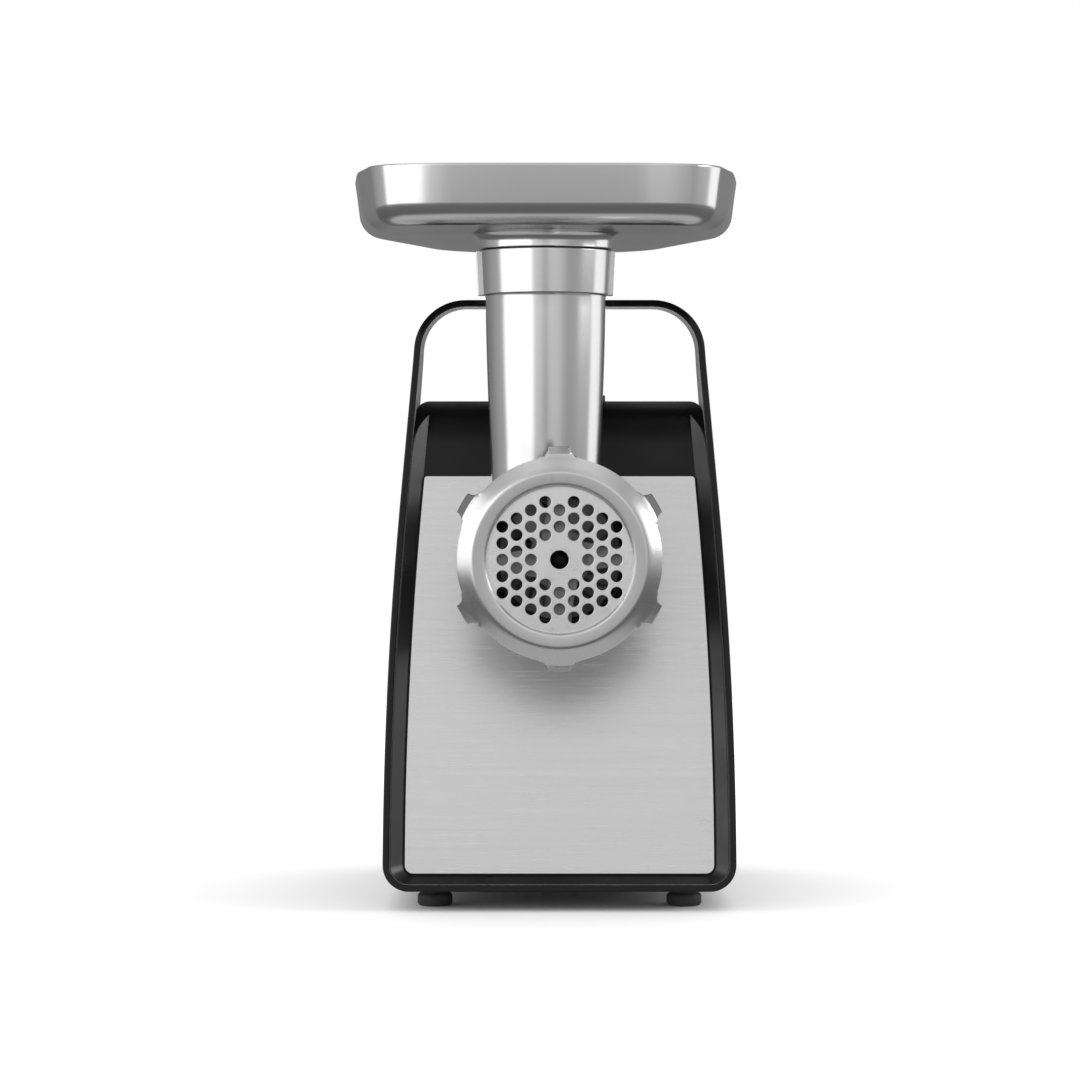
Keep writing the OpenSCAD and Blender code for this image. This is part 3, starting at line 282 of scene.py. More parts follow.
@dataclass(frozen=True)
class GlossPlastic(Finish):
    """Polished moulded plastic with the faint waviness of a tool's polish."""

    gloss: float = 0.35

    def dress(self, graph: Graph) -> None:
        """Sets up a clear dark gloss whose roughness drifts a little.

        Args:
            graph: The material's nodes.
        """
        graph.set(Specular_IOR_Level=self.gloss)
        self.cloud(graph, 30, 0.85)
        graph.roughen(graph.grain(45, detail=4), self.roughness * 0.8, self.roughness * 1.25)
        graph.relief(graph.grain(120, detail=1), 0.00002, 0.35)


@dataclass(frozen=True)
class MouldedPlastic(Finish):
    """Plastic with the fine spark texture of its mould."""

    grain_scale: float = 1400
    grain_height: float = 0.00006
    gloss: float = 0.5
    sheen: float = 0.0

    def dress(self, graph: Graph) -> None:
        """Sets up an even satin with a fine grain.

        Args:
            graph: The material's nodes.
        """
        graph.set(Specular_IOR_Level=self.gloss, Sheen_Weight=self.sheen)
        self.cloud(graph, 25, 0.85)
        graph.roughen(graph.grain(300), self.roughness * 0.85, self.roughness * 1.15)
        graph.relief(graph.grain(self.grain_scale, detail=2), self.grain_height, 0.5)


@dataclass(frozen=True)
class BrushedMetal(Finish):
    """Sheet metal brushed along one axis."""

    along: tuple[float, float, float] = (0.012, 0.0, 1.0)
    line_scale: float = 3200
    streak: float = 0.035
    streak_width: float = 0.16
    metallic: float = 1.0

    def dress(self, graph: Graph) -> None:
        """Sets up long fine scratches with wider pale streaks.

        Args:
            graph: The material's nodes.
        """
        graph.set(Metallic=self.metallic)
        fine = graph.grain(self.line_scale, self.along)
        broad = graph.grain(self.line_scale * self.streak_width, self.along, shift=(3.1, 0, 1.7))
        graph.colour(broad, self.darker(1 - self.streak), self.tone)
        graph.roughen(fine, self.roughness * 0.75, self.roughness * 1.3)
        graph.relief(fine, 0.00002, 0.3)


@dataclass(frozen=True)
class CastMetal(Finish):
    """Cast metal with a tumbled, slightly uneven skin."""

    grain_scale: float = 500
    height: float = 0.00008

    def dress(self, graph: Graph) -> None:
        """Sets up a mottled metal with a shallow grain.

        Args:
            graph: The material's nodes.
        """
        graph.set(Metallic=1.0)
        self.cloud(graph, 90, 0.86, 5)
        graph.roughen(graph.grain(160, detail=4), self.roughness * 0.8, self.roughness * 1.25)
        graph.relief(graph.grain(self.grain_scale), self.height, 0.4)


@dataclass(frozen=True)
class CastMetalWithPaintedPinShade(CastMetal):
    """Cast metal whose pin at the front end is painted near-black, a painted shade for the pin's deep place in the
    plate's middle hole.
    """

    pin_shade_from_y: float = -0.1835
    painted_pin_shade_tone: float = 0.012

    def dress(self, graph: Graph) -> None:
        """Paints shade on the cast metal in front of the pin's root, where the pin sits deep in the plate's middle
        hole.

        Args:
            graph: The material's nodes.
        """
        super().dress(graph)
        parts = graph.node("SeparateXYZ", Vector=graph.place)
        # painted shade: everything in front of the pin's root is painted near-black
        painted_pin_shade_mask = graph.calc(Operation.BELOW, parts.outputs["Y"], self.pin_shade_from_y)
        graph.colour(painted_pin_shade_mask, self.tone, (self.painted_pin_shade_tone, self.painted_pin_shade_tone, self.painted_pin_shade_tone, 1))


@dataclass(frozen=True)
class SatinMetal(Finish):
    """Polished metal with a soft, even sheen."""

    def dress(self, graph: Graph) -> None:
        """Sets up a smooth metal with faint clouds in its polish.

        Args:
            graph: The material's nodes.
        """
        graph.set(Metallic=1.0)
        self.cloud(graph, 14, 0.97, 1)
        graph.roughen(graph.grain(40, detail=2), self.roughness * 0.94, self.roughness * 1.06)


@dataclass(frozen=True)
class TurnedMetal(Finish):
    """Machined metal with fine rings about the screw's axis."""

    ring_scale: float = 2600 / 6

    def dress(self, graph: Graph) -> None:
        """Sets up rings about the axis along Y through the screw.

        Args:
            graph: The material's nodes.
        """
        graph.set(Metallic=1.0)
        mapping = graph.node("Mapping", Vector=graph.place, Location=-SCREW_AXIS * MM)
        wave = graph.node(
            "TexWave", Vector=mapping.outputs["Vector"], Scale=self.ring_scale, Distortion=1.5, Detail=3
        )
        wave.wave_type = "RINGS"
        wave.rings_direction = "Y"
        self.cloud(graph, 80, 0.93, 4)
        graph.roughen(graph.grain(260, detail=4), self.roughness * 0.8, self.roughness * 1.25)
        graph.relief(wave.outputs["Fac"], 0.000012, 0.5)


@dataclass(frozen=True)
class Laminations(Finish):
    """Stacked sheets of core steel, edge on."""

    sheet: float = 0.0005

    def dress(self, graph: Graph) -> None:
        """Sets up thin bands across the stack.

        Args:
            graph: The material's nodes.
        """
        graph.set(Metallic=1.0, Roughness=self.roughness)
        wave = graph.node("TexWave", Vector=graph.place, Scale=0.3 / self.sheet, Distortion=0.4)
        wave.bands_direction = "Y"
        graph.colour(wave.outputs["Fac"], self.darker(0.6), self.tone)
        graph.relief(wave.outputs["Fac"], 0.0001, 0.6)


class Palette:
    """Every finish on the grinder."""

    HOOP = GlossPlastic("hoop_gloss", shade(9), 0.1, 0.24)
    HOOP_INSIDE = MouldedPlastic("hoop_inside_satin", shade(12), 0.25, 1800, 0.00003, sheen=0.8)
    SURROUND = GlossPlastic("surround_gloss", shade(12), 0.3, 0.5)
    FASCIA = GlossPlastic("fascia_gloss", shade(9), 0.4, 0.25)
    HOUSING = MouldedPlastic("housing_satin", shade(26), 0.42)
    FITTING = MouldedPlastic("fitting_satin", shade(34), 0.5, 1800)
    RUBBER = MouldedPlastic("foot_rubber", shade(9), 0.7, 900, 0.0001, 0.15)
    CONTROL = MouldedPlastic("control_satin", shade(58), 0.4, 1600, 0.00003)
    NYLON = MouldedPlastic("gear_nylon", shade(228, 224, 208), 0.45, 700)
    CARBON = MouldedPlastic("brush_carbon", shade(38), 0.7, 2500)
    PANEL = BrushedMetal("panel_brushed_steel", shade(203), 0.22, metallic=0.78)
    HEAD = SatinMetal("head_satin_alloy", shade(198), 0.22)
    NUT = SatinMetal("nut_satin_alloy", shade(194), 0.28)
    TRAY = SatinMetal("tray_satin_alloy", shade(204), 0.22)
    PLATE = TurnedMetal("plate_ground_steel", shade(226), 0.3)
    # painted shade: the knife's ground steel is darkened to the shade it lies in behind the plate
    BLADE = TurnedMetal("knife_steel_painted_shade", shade(124), 0.45)
    # the screw's pin is painted near-black as painted shade of the plate's middle hole
    SCREW = CastMetalWithPaintedPinShade("screw_cast_alloy_painted_pin_shade", shade(150), 0.45)
    CASTING = CastMetal("case_cast_alloy", shade(158), 0.45, 700)
    SOCKET = CastMetal("socket_cast_alloy", shade(112), 0.4, 700)
    GEAR = TurnedMetal("gear_steel", shade(150), 0.34)
    SHAFT = SatinMetal("shaft_steel", shade(160), 0.22)
    ZINC = SatinMetal("screw_zinc", shade(172), 0.3)
    SPRING = SatinMetal("spring_wire", shade(140), 0.25)
    CORE = Laminations("core_sheets", shade(110), 0.5)
    BRONZE = CastMetal("bearing_bronze", shade(184, 142, 84), 0.4, 1500)
    COPPER = BrushedMetal("winding_copper", shade(196, 112, 62), 0.35, (1.0, 1.0, 0.02), 1800)
    BOARD = MouldedPlastic("board_laminate", shade(24, 86, 50), 0.35, 2000)


# ---------------------------------------------------------------- mesh tools


def of_kind(geometry: Iterable[object], kind: type) -> list:
    """Returns only the vertices, edges or faces of some geometry."""
    return [item for item in geometry if isinstance(item, kind)]


def geometry(bm: Mesh) -> list:
    """Returns all vertices, edges and faces of a mesh."""
    return bm.verts[:] + bm.edges[:] + bm.faces[:]


class Pen:
    """Draws a chain of vertices with lines and arcs in a bmesh, in millimetres."""

    def __init__(self, bm: Mesh, start: Point) -> None:
        """Puts the pen down.

        Args:
            bm: The mesh to draw in.
            start: The first point.
        """
        self.bm = bm
        self.tip = bmesh.ops.create_vert(bm, co=Vector(start))["vert"][0]
        self.edges: list[Edge] = []

    def line(self, end: Point, steps: int = 1) -> Pen:
        """Draws a straight run.

        Args:
            end: The last point.
            steps: The number of edges.

        Returns:
            The pen itself.
        """
        start, end = self.tip.co.copy(), Vector(end)
        for i in range(1, steps + 1):
            made = bmesh.ops.extrude_vert_indiv(self.bm, verts=[self.tip])
            self.tip = made["verts"][0]
            self.tip.co = start.lerp(end, i / steps)
            self.edges += made["edges"]
        return self

    def turn(self, centre: Point, axis: Vector, degrees: float, steps: int) -> Pen:
        """Draws an arc by spinning the tip.

        Args:
            centre: The arc's centre.
            axis: The axis of the spin.
            degrees: The arc's angle.
            steps: The number of edges.

        Returns:
            The pen itself.
        """
        before = set(self.bm.edges)
        made = bmesh.ops.spin(
            self.bm, geom=[self.tip], cent=Vector(centre), axis=axis, angle=math.radians(degrees), steps=steps,
            use_merge=False, use_duplicate=False,
        )
        self.tip = of_kind(made["geom_last"], Vert)[0]
        self.edges += [e for e in self.bm.edges if e not in before]
        return self


def verts_of(edges: Iterable[Edge]) -> list[Vert]:
    """Returns the vertices of some edges, once each, in order of first use."""
    return list(dict.fromkeys(v for e in edges for v in e.verts))


def open_edges(bm: Mesh) -> list[Edge]:
    """Returns the edges with a face on one side only."""
    return [e for e in bm.edges if e.is_boundary]


def extend(bm: Mesh, edges: Sequence[Edge], move: Move = lambda co: co) -> list[Edge]:
    """Extrudes edges into faces and moves the new row.

    Args:
        bm: The mesh.
        edges: The row to extrude.
        move: Gives each new vertex its place from its old one.

    Returns:
        The new row's edges.
    """
    made = bmesh.ops.extrude_edge_only(bm, edges=list(edges))["geom"]
    for vert in of_kind(made, Vert):
        vert.co = move(vert.co.copy())
    return [e for e in of_kind(made, Edge) if all(v in made for v in e.verts)]


def to_ring(middle: Vector, axis: Vector, radius: float, along: float) -> Move:
    """Makes a move that lays points on a ring about an axis.

    Args:
        middle: The point of the axis from which its length counts.
        axis: The axis.
        radius: The ring's radius.
        along: Its place along the axis.

    Returns:
        The move.
    """
    def move(co: Vector) -> Vector:
        """Returns the ring's point nearest to a point."""
        arm = co - middle
        return middle + axis * along + (arm - axis * arm.dot(axis)).normalized() * radius
    return move


def run_rings(bm: Mesh, row: Sequence[Edge], rings: Iterable[Pair], middle: Vector, axis: Vector) -> Sequence[Edge]:
    """Runs a surface from ring to ring about an axis.

    Args:
        bm: The mesh.
        row: The edges to start from.
        rings: Each ring's radius and place along the axis.
        middle: The point of the axis from which its length counts.
        axis: The axis.

    Returns:
        The last ring's edges.
    """
    for radius, along in rings:
        row = extend(bm, row, to_ring(middle, axis, radius, along))
    return row


def bridge(bm: Mesh, loops: Sequence[Sequence[Edge]], closed: bool) -> None:
    """Bridges each loop to the next.

    Args:
        bm: The mesh.
        loops: Edge loops with equal counts.
        closed: Whether the last loop joins the first.
    """
    pairs = list(zip(loops, loops[1:])) + ([(loops[-1], loops[0])] if closed else [])
    for first, second in pairs:
        bmesh.ops.bridge_loops(bm, edges=list(first) + list(second))


def mirror(bm: Mesh, geom: list, axis: str) -> None:
    """Mirrors geometry over the plane across an axis and joins it along the plane."""
    bmesh.ops.mirror(bm, geom=geom, matrix=Matrix.Identity(4), merge_dist=0.001, axis=axis)


def fill(bm: Mesh, edges: list[Edge]) -> None:
    """Fills a flat outline, less its holes."""
    bmesh.ops.triangle_fill(bm, use_beauty=True, use_dissolve=False, edges=edges)


def sharp_edges(bm: Mesh, degrees: float) -> list[Edge]:
    """Returns the edges whose faces meet at more than an angle."""
    limit = math.radians(degrees)
    return [e for e in bm.edges if e.is_manifold and e.calc_face_angle(0) > limit]


def soften(bm: Mesh, edges: Iterable[Edge], radius: float, segments: int = 3) -> None:
    """Rounds edges.

    Args:
        bm: The mesh.
        edges: The edges to round.
        radius: The bevel's width in millimetres.
        segments: The number of faces across it.
    """
    bmesh.ops.bevel(
        bm, geom=list(edges), offset=radius, offset_type="OFFSET", segments=segments, profile=0.5,
        affect="EDGES", clamp_overlap=True, material=-1,
    )


def clean(bm: Mesh, reach: float = 0.0005) -> None:
    """Merges vertices within a reach and points the faces outwards."""
    bmesh.ops.remove_doubles(bm, verts=bm.verts[:], dist=reach)
    bmesh.ops.recalc_face_normals(bm, faces=bm.faces[:])


def mark_sharp(bm: Mesh, limit: float = SMOOTH_LIMIT) -> None:
    """Shades the faces smooth and leaves the sharper edges crisp.

    Args:
        bm: The mesh.
        limit: The face angle from which an edge is crisp.
    """
    for face in bm.faces:
        face.smooth = True
    for edge in bm.edges:
        edge.smooth = edge.is_manifold and edge.calc_face_angle(0) < limit


def even_shading(piece: Piece) -> None:
    """Lets the larger faces lead the shading, so that flats stay flat beside their rounded edges.

    Args:
        piece: The piece to shade.
    """
    normals = piece.modifiers.new("even shading", "WEIGHTED_NORMAL")
    normals.keep_sharp = True
    normals.weight = 60


def to_metres(bm: Mesh) -> None:
    """Scales a mesh drawn in millimetres to metres."""
    bmesh.ops.scale(bm, vec=Vector((MM, MM, MM)), verts=bm.verts[:])


def link_object(bm: Mesh, name: str) -> Piece:
    """Puts a mesh into the scene.

    Args:
        bm: The mesh, which is freed.
        name: The object's name.

    Returns:
        The object.
    """
    mesh = bpy.data.meshes.new(name)
    bm.to_mesh(mesh)
    bm.free()
    linked = bpy.data.objects.new(name, mesh)
    bpy.context.scene.collection.objects.link(linked)
    return linked


def become_piece(
    bm: Mesh, name: str, finish: Finish, body: str, replaces: Sequence[str] = (),
    limit: float = SMOOTH_LIMIT,
) -> Piece:
    """Turns a bmesh drawn in millimetres into a dressed piece.

    Args:
        bm: The mesh, which is freed.
        name: The piece's name.
        finish: Its finish.
        body: The body that it rides on.
        replaces: The CAD nodes that it stands for.
        limit: The face angle from which an edge is crisp.

    Returns:
        The piece.
    """
    to_metres(bm)
    mark_sharp(bm, limit)
    piece = link_object(bm, name)
    piece.data.materials.append(finish.material())
    even_shading(piece)
    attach(piece, body)
    if replaces:
        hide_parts(*replaces)
    log.info("%s: %d faces, rides on %s", name, len(piece.data.polygons), body)
    return piece


def spin_profile(points: Sequence[Pair], centre: Vector, axis: Vector, steps: int = 128) -> Mesh:
    """Spins a closed profile about an axis.

    Args:
        points: The profile's radii and distances along the axis, in order.
        centre: A point on the axis where the distance is 0.
        axis: The axis.
        steps: The number of faces round it.

    Returns:
        The closed mesh.
    """
    bm = bmesh.new()
    places = [centre + X_AXIS * radius + axis * along for radius, along in points]
    pen = Pen(bm, places[0])
    for place in places[1:]:
        pen.line(place)
    bm.edges.new((pen.tip, bm.verts[:][0]))
    bmesh.ops.spin(
        bm, geom=geometry(bm), cent=centre, axis=axis, angle=math.tau, steps=steps, use_merge=True,
        use_duplicate=False,
    )
    clean(bm)
    return bm


def cut(piece: Piece, tools: Sequence[Mesh]) -> None:
    """Cuts openings in a piece.

    Args:
        piece: The piece, which keeps its name and finish.
        tools: Closed meshes in millimetres, which are freed.
    """
    for bm in tools:
        to_metres(bm)
        tool = link_object(bm, "cutter")
        cutter = piece.modifiers.new("opening", "BOOLEAN")
        cutter.operation = "DIFFERENCE"
        cutter.solver = "EXACT"
        cutter.object = tool
        bpy.context.view_layer.update()
        graph = bpy.context.evaluated_depsgraph_get()
        done = bpy.data.meshes.new_from_object(piece.evaluated_get(graph))
        piece.modifiers.clear()
        old, mesh = piece.data, tool.data
        piece.data = done
        done.name = piece.name
        bpy.data.objects.remove(tool)
        for spent in (old, mesh):
            bpy.data.meshes.remove(spent)
    fresh = bmesh.new()
    fresh.from_mesh(piece.data)
    bmesh.ops.remove_doubles(fresh, verts=fresh.verts[:], dist=0.0000005)
    mark_sharp(fresh)
    fresh.to_mesh(piece.data)
    fresh.free()
    even_shading(piece)


# ---------------------------------------------------------------- the body


@dataclass(frozen=True)
class BodyForm:
    """The lines that the hoop, the surround and the panel share, in millimetres."""

    half: float = 74.0
    depth: float = 190.0
    top: float = 214.2
    foot: float = 8.2
    lean: float = math.radians(8.3)
    low_corner: float = 11.0
    band: float = 2.9
    handle_top: float = 257.1
    handle_corner: float = 22.0
    handle_depth: float = 23.0
    band_back: float = -14.0
    swell: float = 1790.0
    knee: float = 172.0
    panel_depth: float = 4.6
    panel_t: float = 0.8
    shoulder: float = 195.0
    wall: float = 2.6

    @property
    def fascia_depth(self) -> float:
        """How far the fascia lies behind the lip."""
        return self.panel_depth + self.panel_t

    @property
    def swell_z(self) -> float:
        """The height at which the sides start to draw in."""
        return self.foot + self.low_corner

    def side(self, z: float) -> float:
        """Works out the half width, which draws in along an arc and then along a straight line.

        Args:
            z: The height.

        Returns:
            The half width.
        """
        if z < self.knee:
            return self.half - max(z - self.swell_z, 0) ** 2 / (2 * self.swell)
        rise = self.knee - self.swell_z
        return self.half - rise * rise / (2 * self.swell) - (z - self.knee) * rise / self.swell

    def lip(self, z: float, depth: float = 0.0) -> float:
        """Returns the place along Y of the front lip, or of a face behind it, at a height."""
        return (z - self.foot) * math.tan(self.lean) - self.depth / 2 + depth / math.cos(self.lean)

    def band_rear(self, z: float) -> float:
        """Works out where the band ends at the rear, which sweeps forward into the handle.

        Args:
            z: The height.

        Returns:
            The place along Y.
        """
        share = max((z - self.shoulder) / (self.handle_top + 1 - self.shoulder), 0)
        sweep = self.band_back - self.lip(self.handle_top) - self.handle_depth
        return self.band_back - sweep * share * share

    def on_face(self, point: Vector, depth: float) -> Vector:
        """Lays a point of a front view on the leaning face, or on one behind it at a depth square to it."""
        back, down = depth * math.cos(self.lean), depth * math.sin(self.lean)
        return Vector((point.x, self.lip(point.z) + back, point.z - down))

    def trace(
        self, bm: Mesh, inset: float, top: float, top_r: float, foot: float, low_r: float, steps: int = 26
    ) -> list[Edge]:
        """Draws a closed front-view outline in the plane of X and Z.

        Args:
            bm: The mesh to draw in.
            inset: The distance inside the body's sides.
            top: The height of the outline's top.
            top_r: The radius of its upper corners.
            foot: The height of its foot.
            low_r: The radius of its lower corners.
            steps: The number of edges up each side.

        Returns:
            The outline's edges.
        """
        old = set(bm.verts)
        low, high = foot + low_r, top - top_r
        x_low, x_high = self.side(low) - inset - low_r, self.side(high) - inset - top_r
        slope = math.atan((self.knee - self.swell_z) / self.swell)
        pen = Pen(bm, (0, 0, foot)).line((x_low, 0, foot), 8)
        pen.turn((x_low, 0, low), -Y_AXIS, 90, 12)
        end = high + top_r * math.sin(slope)
        for i in range(1, steps):
            z = low + (end - low) * i / steps
            pen.line((self.side(z) - inset, 0, z))
        pen.line((x_high + top_r * math.cos(slope), 0, end))
        pen.turn((x_high, 0, high), -Y_AXIS, 90 - math.degrees(slope), 14)
        pen.line((0, 0, top), 8)
        mirror(bm, [v for v in bm.verts if v not in old] + pen.edges, "X")
        return [e for e in bm.edges if all(v not in old for v in e.verts)]


FORM = BodyForm()


@dataclass
class Hoop:
    """The band that wraps the body and rises into the handle."""

    form: BodyForm = FORM
    lip_round: float = 0.55
    crease: float = 50.0
    facing: float = 0.3
    steps: int = 40
    heart: float = 130.0

    def build(self) -> Piece:
        """Builds the hoop as four bridged outlines with rounded lips.

        Returns:
            The hoop.
        """
        f = self.form
        bm = bmesh.new()
        loops = []
        for inset, place in ((0, f.lip), (0, f.band_rear), (f.band, f.band_rear), (f.band, f.lip)):
            corner, low_corner = f.handle_corner - inset, f.low_corner - inset
            edges = f.trace(bm, inset, f.handle_top - inset, corner, f.foot + inset, low_corner, self.steps)
            for vert in verts_of(edges):
                vert.co.y = place(vert.co.z)
            loops.append(edges)
        bridge(bm, loops, True)
        clean(bm)
        soften(bm, sharp_edges(bm, self.crease), self.lip_round, 4)
        middle = Vector((0, 0, self.heart))
        for face in bm.faces:
            inside = face.normal.dot(middle - face.calc_center_median()) > 0
            face.material_index = int(abs(face.normal.y) < self.facing and inside)
        piece = become_piece(bm, "hoop", Palette.HOOP, "motor_base")
        piece.data.materials.append(Palette.HOOP_INSIDE.material())
        return piece


@dataclass
class Surround:
    """The sloping face between the hoop's lip and the panel, with its rounded upper ends."""

    form: BodyForm = FORM
    flat: float = 0.5
    lip_set: float = 0.8
    lap: float = 0.15
    seam: float = 0.1
    behind: float = 1.6
    inner: float = 8.7
    inner_corner: float = 4.5
    inner_foot: float = 15.4
    end_start: float = 192.0
    end_top: float = 207.0
    spare: float = 6.0
    spare_corner: float = 1.0
    side_from: float = 30.0
    crease: float = 35.0
    edge_round: float = 0.25
    steps: int = 60

    def share(self, z: float) -> float:
        """Returns how far the slope has closed at a height, from 0 to 1."""
        t = min(max((z - self.end_start) / (self.end_top - self.end_start), 0), 1)
        return 1 - math.sqrt(1 - t * t)

    def build(self) -> Piece:
        """Builds the surround as a closed strip that runs from one upper end round the foot to the other.

        Returns:
            The surround.
        """
        f = self.form
        bm = bmesh.new()
        deep = f.fascia_depth + self.behind
        edge = f.band - self.lap
        low = f.foot + edge
        rings = (
            (edge, self.lip_set, f.low_corner - edge, low),
            (f.band + self.flat, self.lip_set, f.low_corner - f.band - self.flat, low + self.flat),
            (self.inner, f.fascia_depth - self.seam, self.inner_corner, self.inner_foot),
            (self.inner, deep, self.inner_corner, self.inner_foot),
            (edge, deep, f.low_corner - edge, low),
        )
        loops = []
        for number, (inset, depth, low_r, foot) in enumerate(rings):
            edges = f.trace(bm, inset, self.end_top + self.spare, self.spare_corner, foot, low_r, self.steps)
            for vert in verts_of(edges):
                share = self.share(vert.co.z) if inset != self.inner else 0
                if abs(vert.co.x) > self.side_from:
                    vert.co.x -= math.copysign(share * (self.inner - inset - self.seam), vert.co.x)
                sunk = depth + share * (f.fascia_depth + 2 * self.seam - depth) if number < 2 else depth
                vert.co = f.on_face(vert.co, sunk)
            loops.append(edges)
        bridge(bm, loops, True)
        clean(bm)
        top = f.on_face(Vector((0, 0, self.end_top)), 0).z
        above = [face for face in bm.faces if face.calc_center_median().z > top]
        bmesh.ops.delete(bm, geom=above, context="FACES")
        bmesh.ops.holes_fill(bm, edges=open_edges(bm), sides=0)
        clean(bm)
        soften(bm, sharp_edges(bm, self.crease), self.edge_round)
        return become_piece(bm, "surround", Palette.SURROUND, "motor_base")


@dataclass
class Fascia:
    """The black wall behind the panel, which bends back into the housing's top."""

    form: BodyForm = FORM
    cap: float = 3.0
    corner: float = 6.0
    lap: float = 0.1
    heart: float = 110.0
    round_from: float = 190.0
    crease: float = 40.0
    edge_round: float = 0.4
    bend_steps: int = 24
    side_steps: int = 8

    def build(self) -> Piece:
        """Builds the wall from its side profile, then trims its sides to the hoop.

        Returns:
            The fascia.
        """
        f = self.form
        bm = bmesh.new()
        radius = (f.top - f.shoulder) / (1 - math.sin(f.lean))
        start = Vector((0, f.lip(f.shoulder, f.fascia_depth), f.shoulder))
        middle = Vector((0, start.y + radius * math.cos(f.lean), f.shoulder - radius * math.sin(f.lean)))
        foot_z = f.foot + 1
        foot_y = f.lip(foot_z, f.fascia_depth)
        bend = 90 - math.degrees(f.lean)
        pen = Pen(bm, (0, foot_y, foot_z)).line(start, 4)
        pen.turn(middle, X_AXIS, -bend, self.bend_steps)
        pen.line((0, middle.y + self.cap, pen.tip.co.z))
        pen.line((0, middle.y + self.cap, pen.tip.co.z - f.wall))
        pen.line((0, middle.y, pen.tip.co.z))
        pen.turn(middle, X_AXIS, bend, self.bend_steps)
        pen.line((0, foot_y + f.wall / math.cos(f.lean), foot_z), 4)
        bm.edges.new((pen.tip, bm.verts[:][0]))
        bmesh.ops.translate(bm, verts=bm.verts[:], vec=Vector((-f.half, 0, 0)))
        extend(bm, bm.edges[:], lambda co: Vector((f.half, co.y, co.z)))
        bmesh.ops.holes_fill(bm, edges=open_edges(bm), sides=0)
        clean(bm)
        self.trim(bm)
        clean(bm)
        high = [e for e in sharp_edges(bm, self.crease) if min(v.co.z for v in e.verts) > self.round_from]
        soften(bm, high, self.edge_round)
        return become_piece(bm, "fascia", Palette.FASCIA, "motor_base")

    def trim(self, bm: Mesh) -> None:
        """Cuts the wall's sides with planes along the hoop's inner line.

        Args:
            bm: The wall's mesh.
        """
        f = self.form
        guide = bmesh.new()
        inset = f.band - self.lap
        planes = []
        low_corner = f.low_corner - f.band
        for edge in f.trace(guide, inset, f.top, self.corner, f.foot + inset, low_corner, self.side_steps):
            a, b = (v.co.copy() for v in edge.verts)
            middle = (a + b) / 2
            normal = Vector((b.z - a.z, 0, a.x - b.x)).normalized()
            if normal.dot(middle - Vector((0, 0, self.heart))) < 0:
                normal.negate()
            if abs(normal.x) > 0.02:
                planes.append((middle, normal))
        guide.free()
        for middle, normal in planes:
            made = bmesh.ops.bisect_plane(
                bm, geom=geometry(bm), plane_co=middle, plane_no=normal, clear_outer=True
            )
            rim = of_kind(made["geom_cut"], Edge)
            if rim:
                bmesh.ops.edgeloop_fill(bm, edges=[e for e in rim if e.is_boundary])


@dataclass
class Panel:
    """The brushed steel sheet on the front."""

    form: BodyForm = FORM
    top: float = 182.4
    inset: float = 9.2
    top_r: float = 1.3
    low_r: float = 3.4
    foot: float = 16.0
    hole: float = 31.8
    hole_steps: int = 96
    crease: float = 50.0
    edge: float = 0.12
    gap: float = 0.02

    def build(self) -> Piece:
        """Builds the sheet as a filled outline round the head's opening, then gives it its thickness.

        Returns:
            The sheet.
        """
        f = self.form
        bm = bmesh.new()
        for vert in verts_of(f.trace(bm, self.inset, self.top, self.top_r, self.foot, self.low_r)):
            vert.co = f.on_face(vert.co, f.panel_depth)
        pen = Pen(bm, (self.hole, 0, AXIS_Z)).turn(SCREW_AXIS, Y_AXIS, 360, self.hole_steps)
        for vert in verts_of(pen.edges):
            vert.co.y = f.lip(vert.co.z, f.panel_depth)
        clean(bm, 0.001)
        fill(bm, bm.edges[:])
        bmesh.ops.recalc_face_normals(bm, faces=bm.faces[:])
        made = bmesh.ops.extrude_face_region(bm, geom=bm.faces[:], use_keep_orig=True)["geom"]
        inward = Vector((0, math.cos(f.lean), -math.sin(f.lean))) * (f.panel_t - self.gap)
        bmesh.ops.translate(bm, verts=of_kind(made, Vert), vec=inward)
        clean(bm)
        soften(bm, sharp_edges(bm, self.crease), self.edge, 2)
        return become_piece(
            bm, "steel_panel", Palette.PANEL, "motor_base", ["front_panel"], math.radians(20)
        )


# ---------------------------------------------------------------- the grinding head


def drill(radius: float, length: float, sides: int, place: Matrix) -> Mesh:
    """Makes a round cutter.

    Args:
        radius: Its radius.
        length: Its length.
        sides: The number of faces round it.
        place: Where its middle stands and how it is turned.

    Returns:
        The closed mesh.
    """
    bm = bmesh.new()
    bmesh.ops.create_cone(
        bm, cap_ends=True, segments=sides, radius1=radius, radius2=radius, depth=length, matrix=place
    )
    return bm


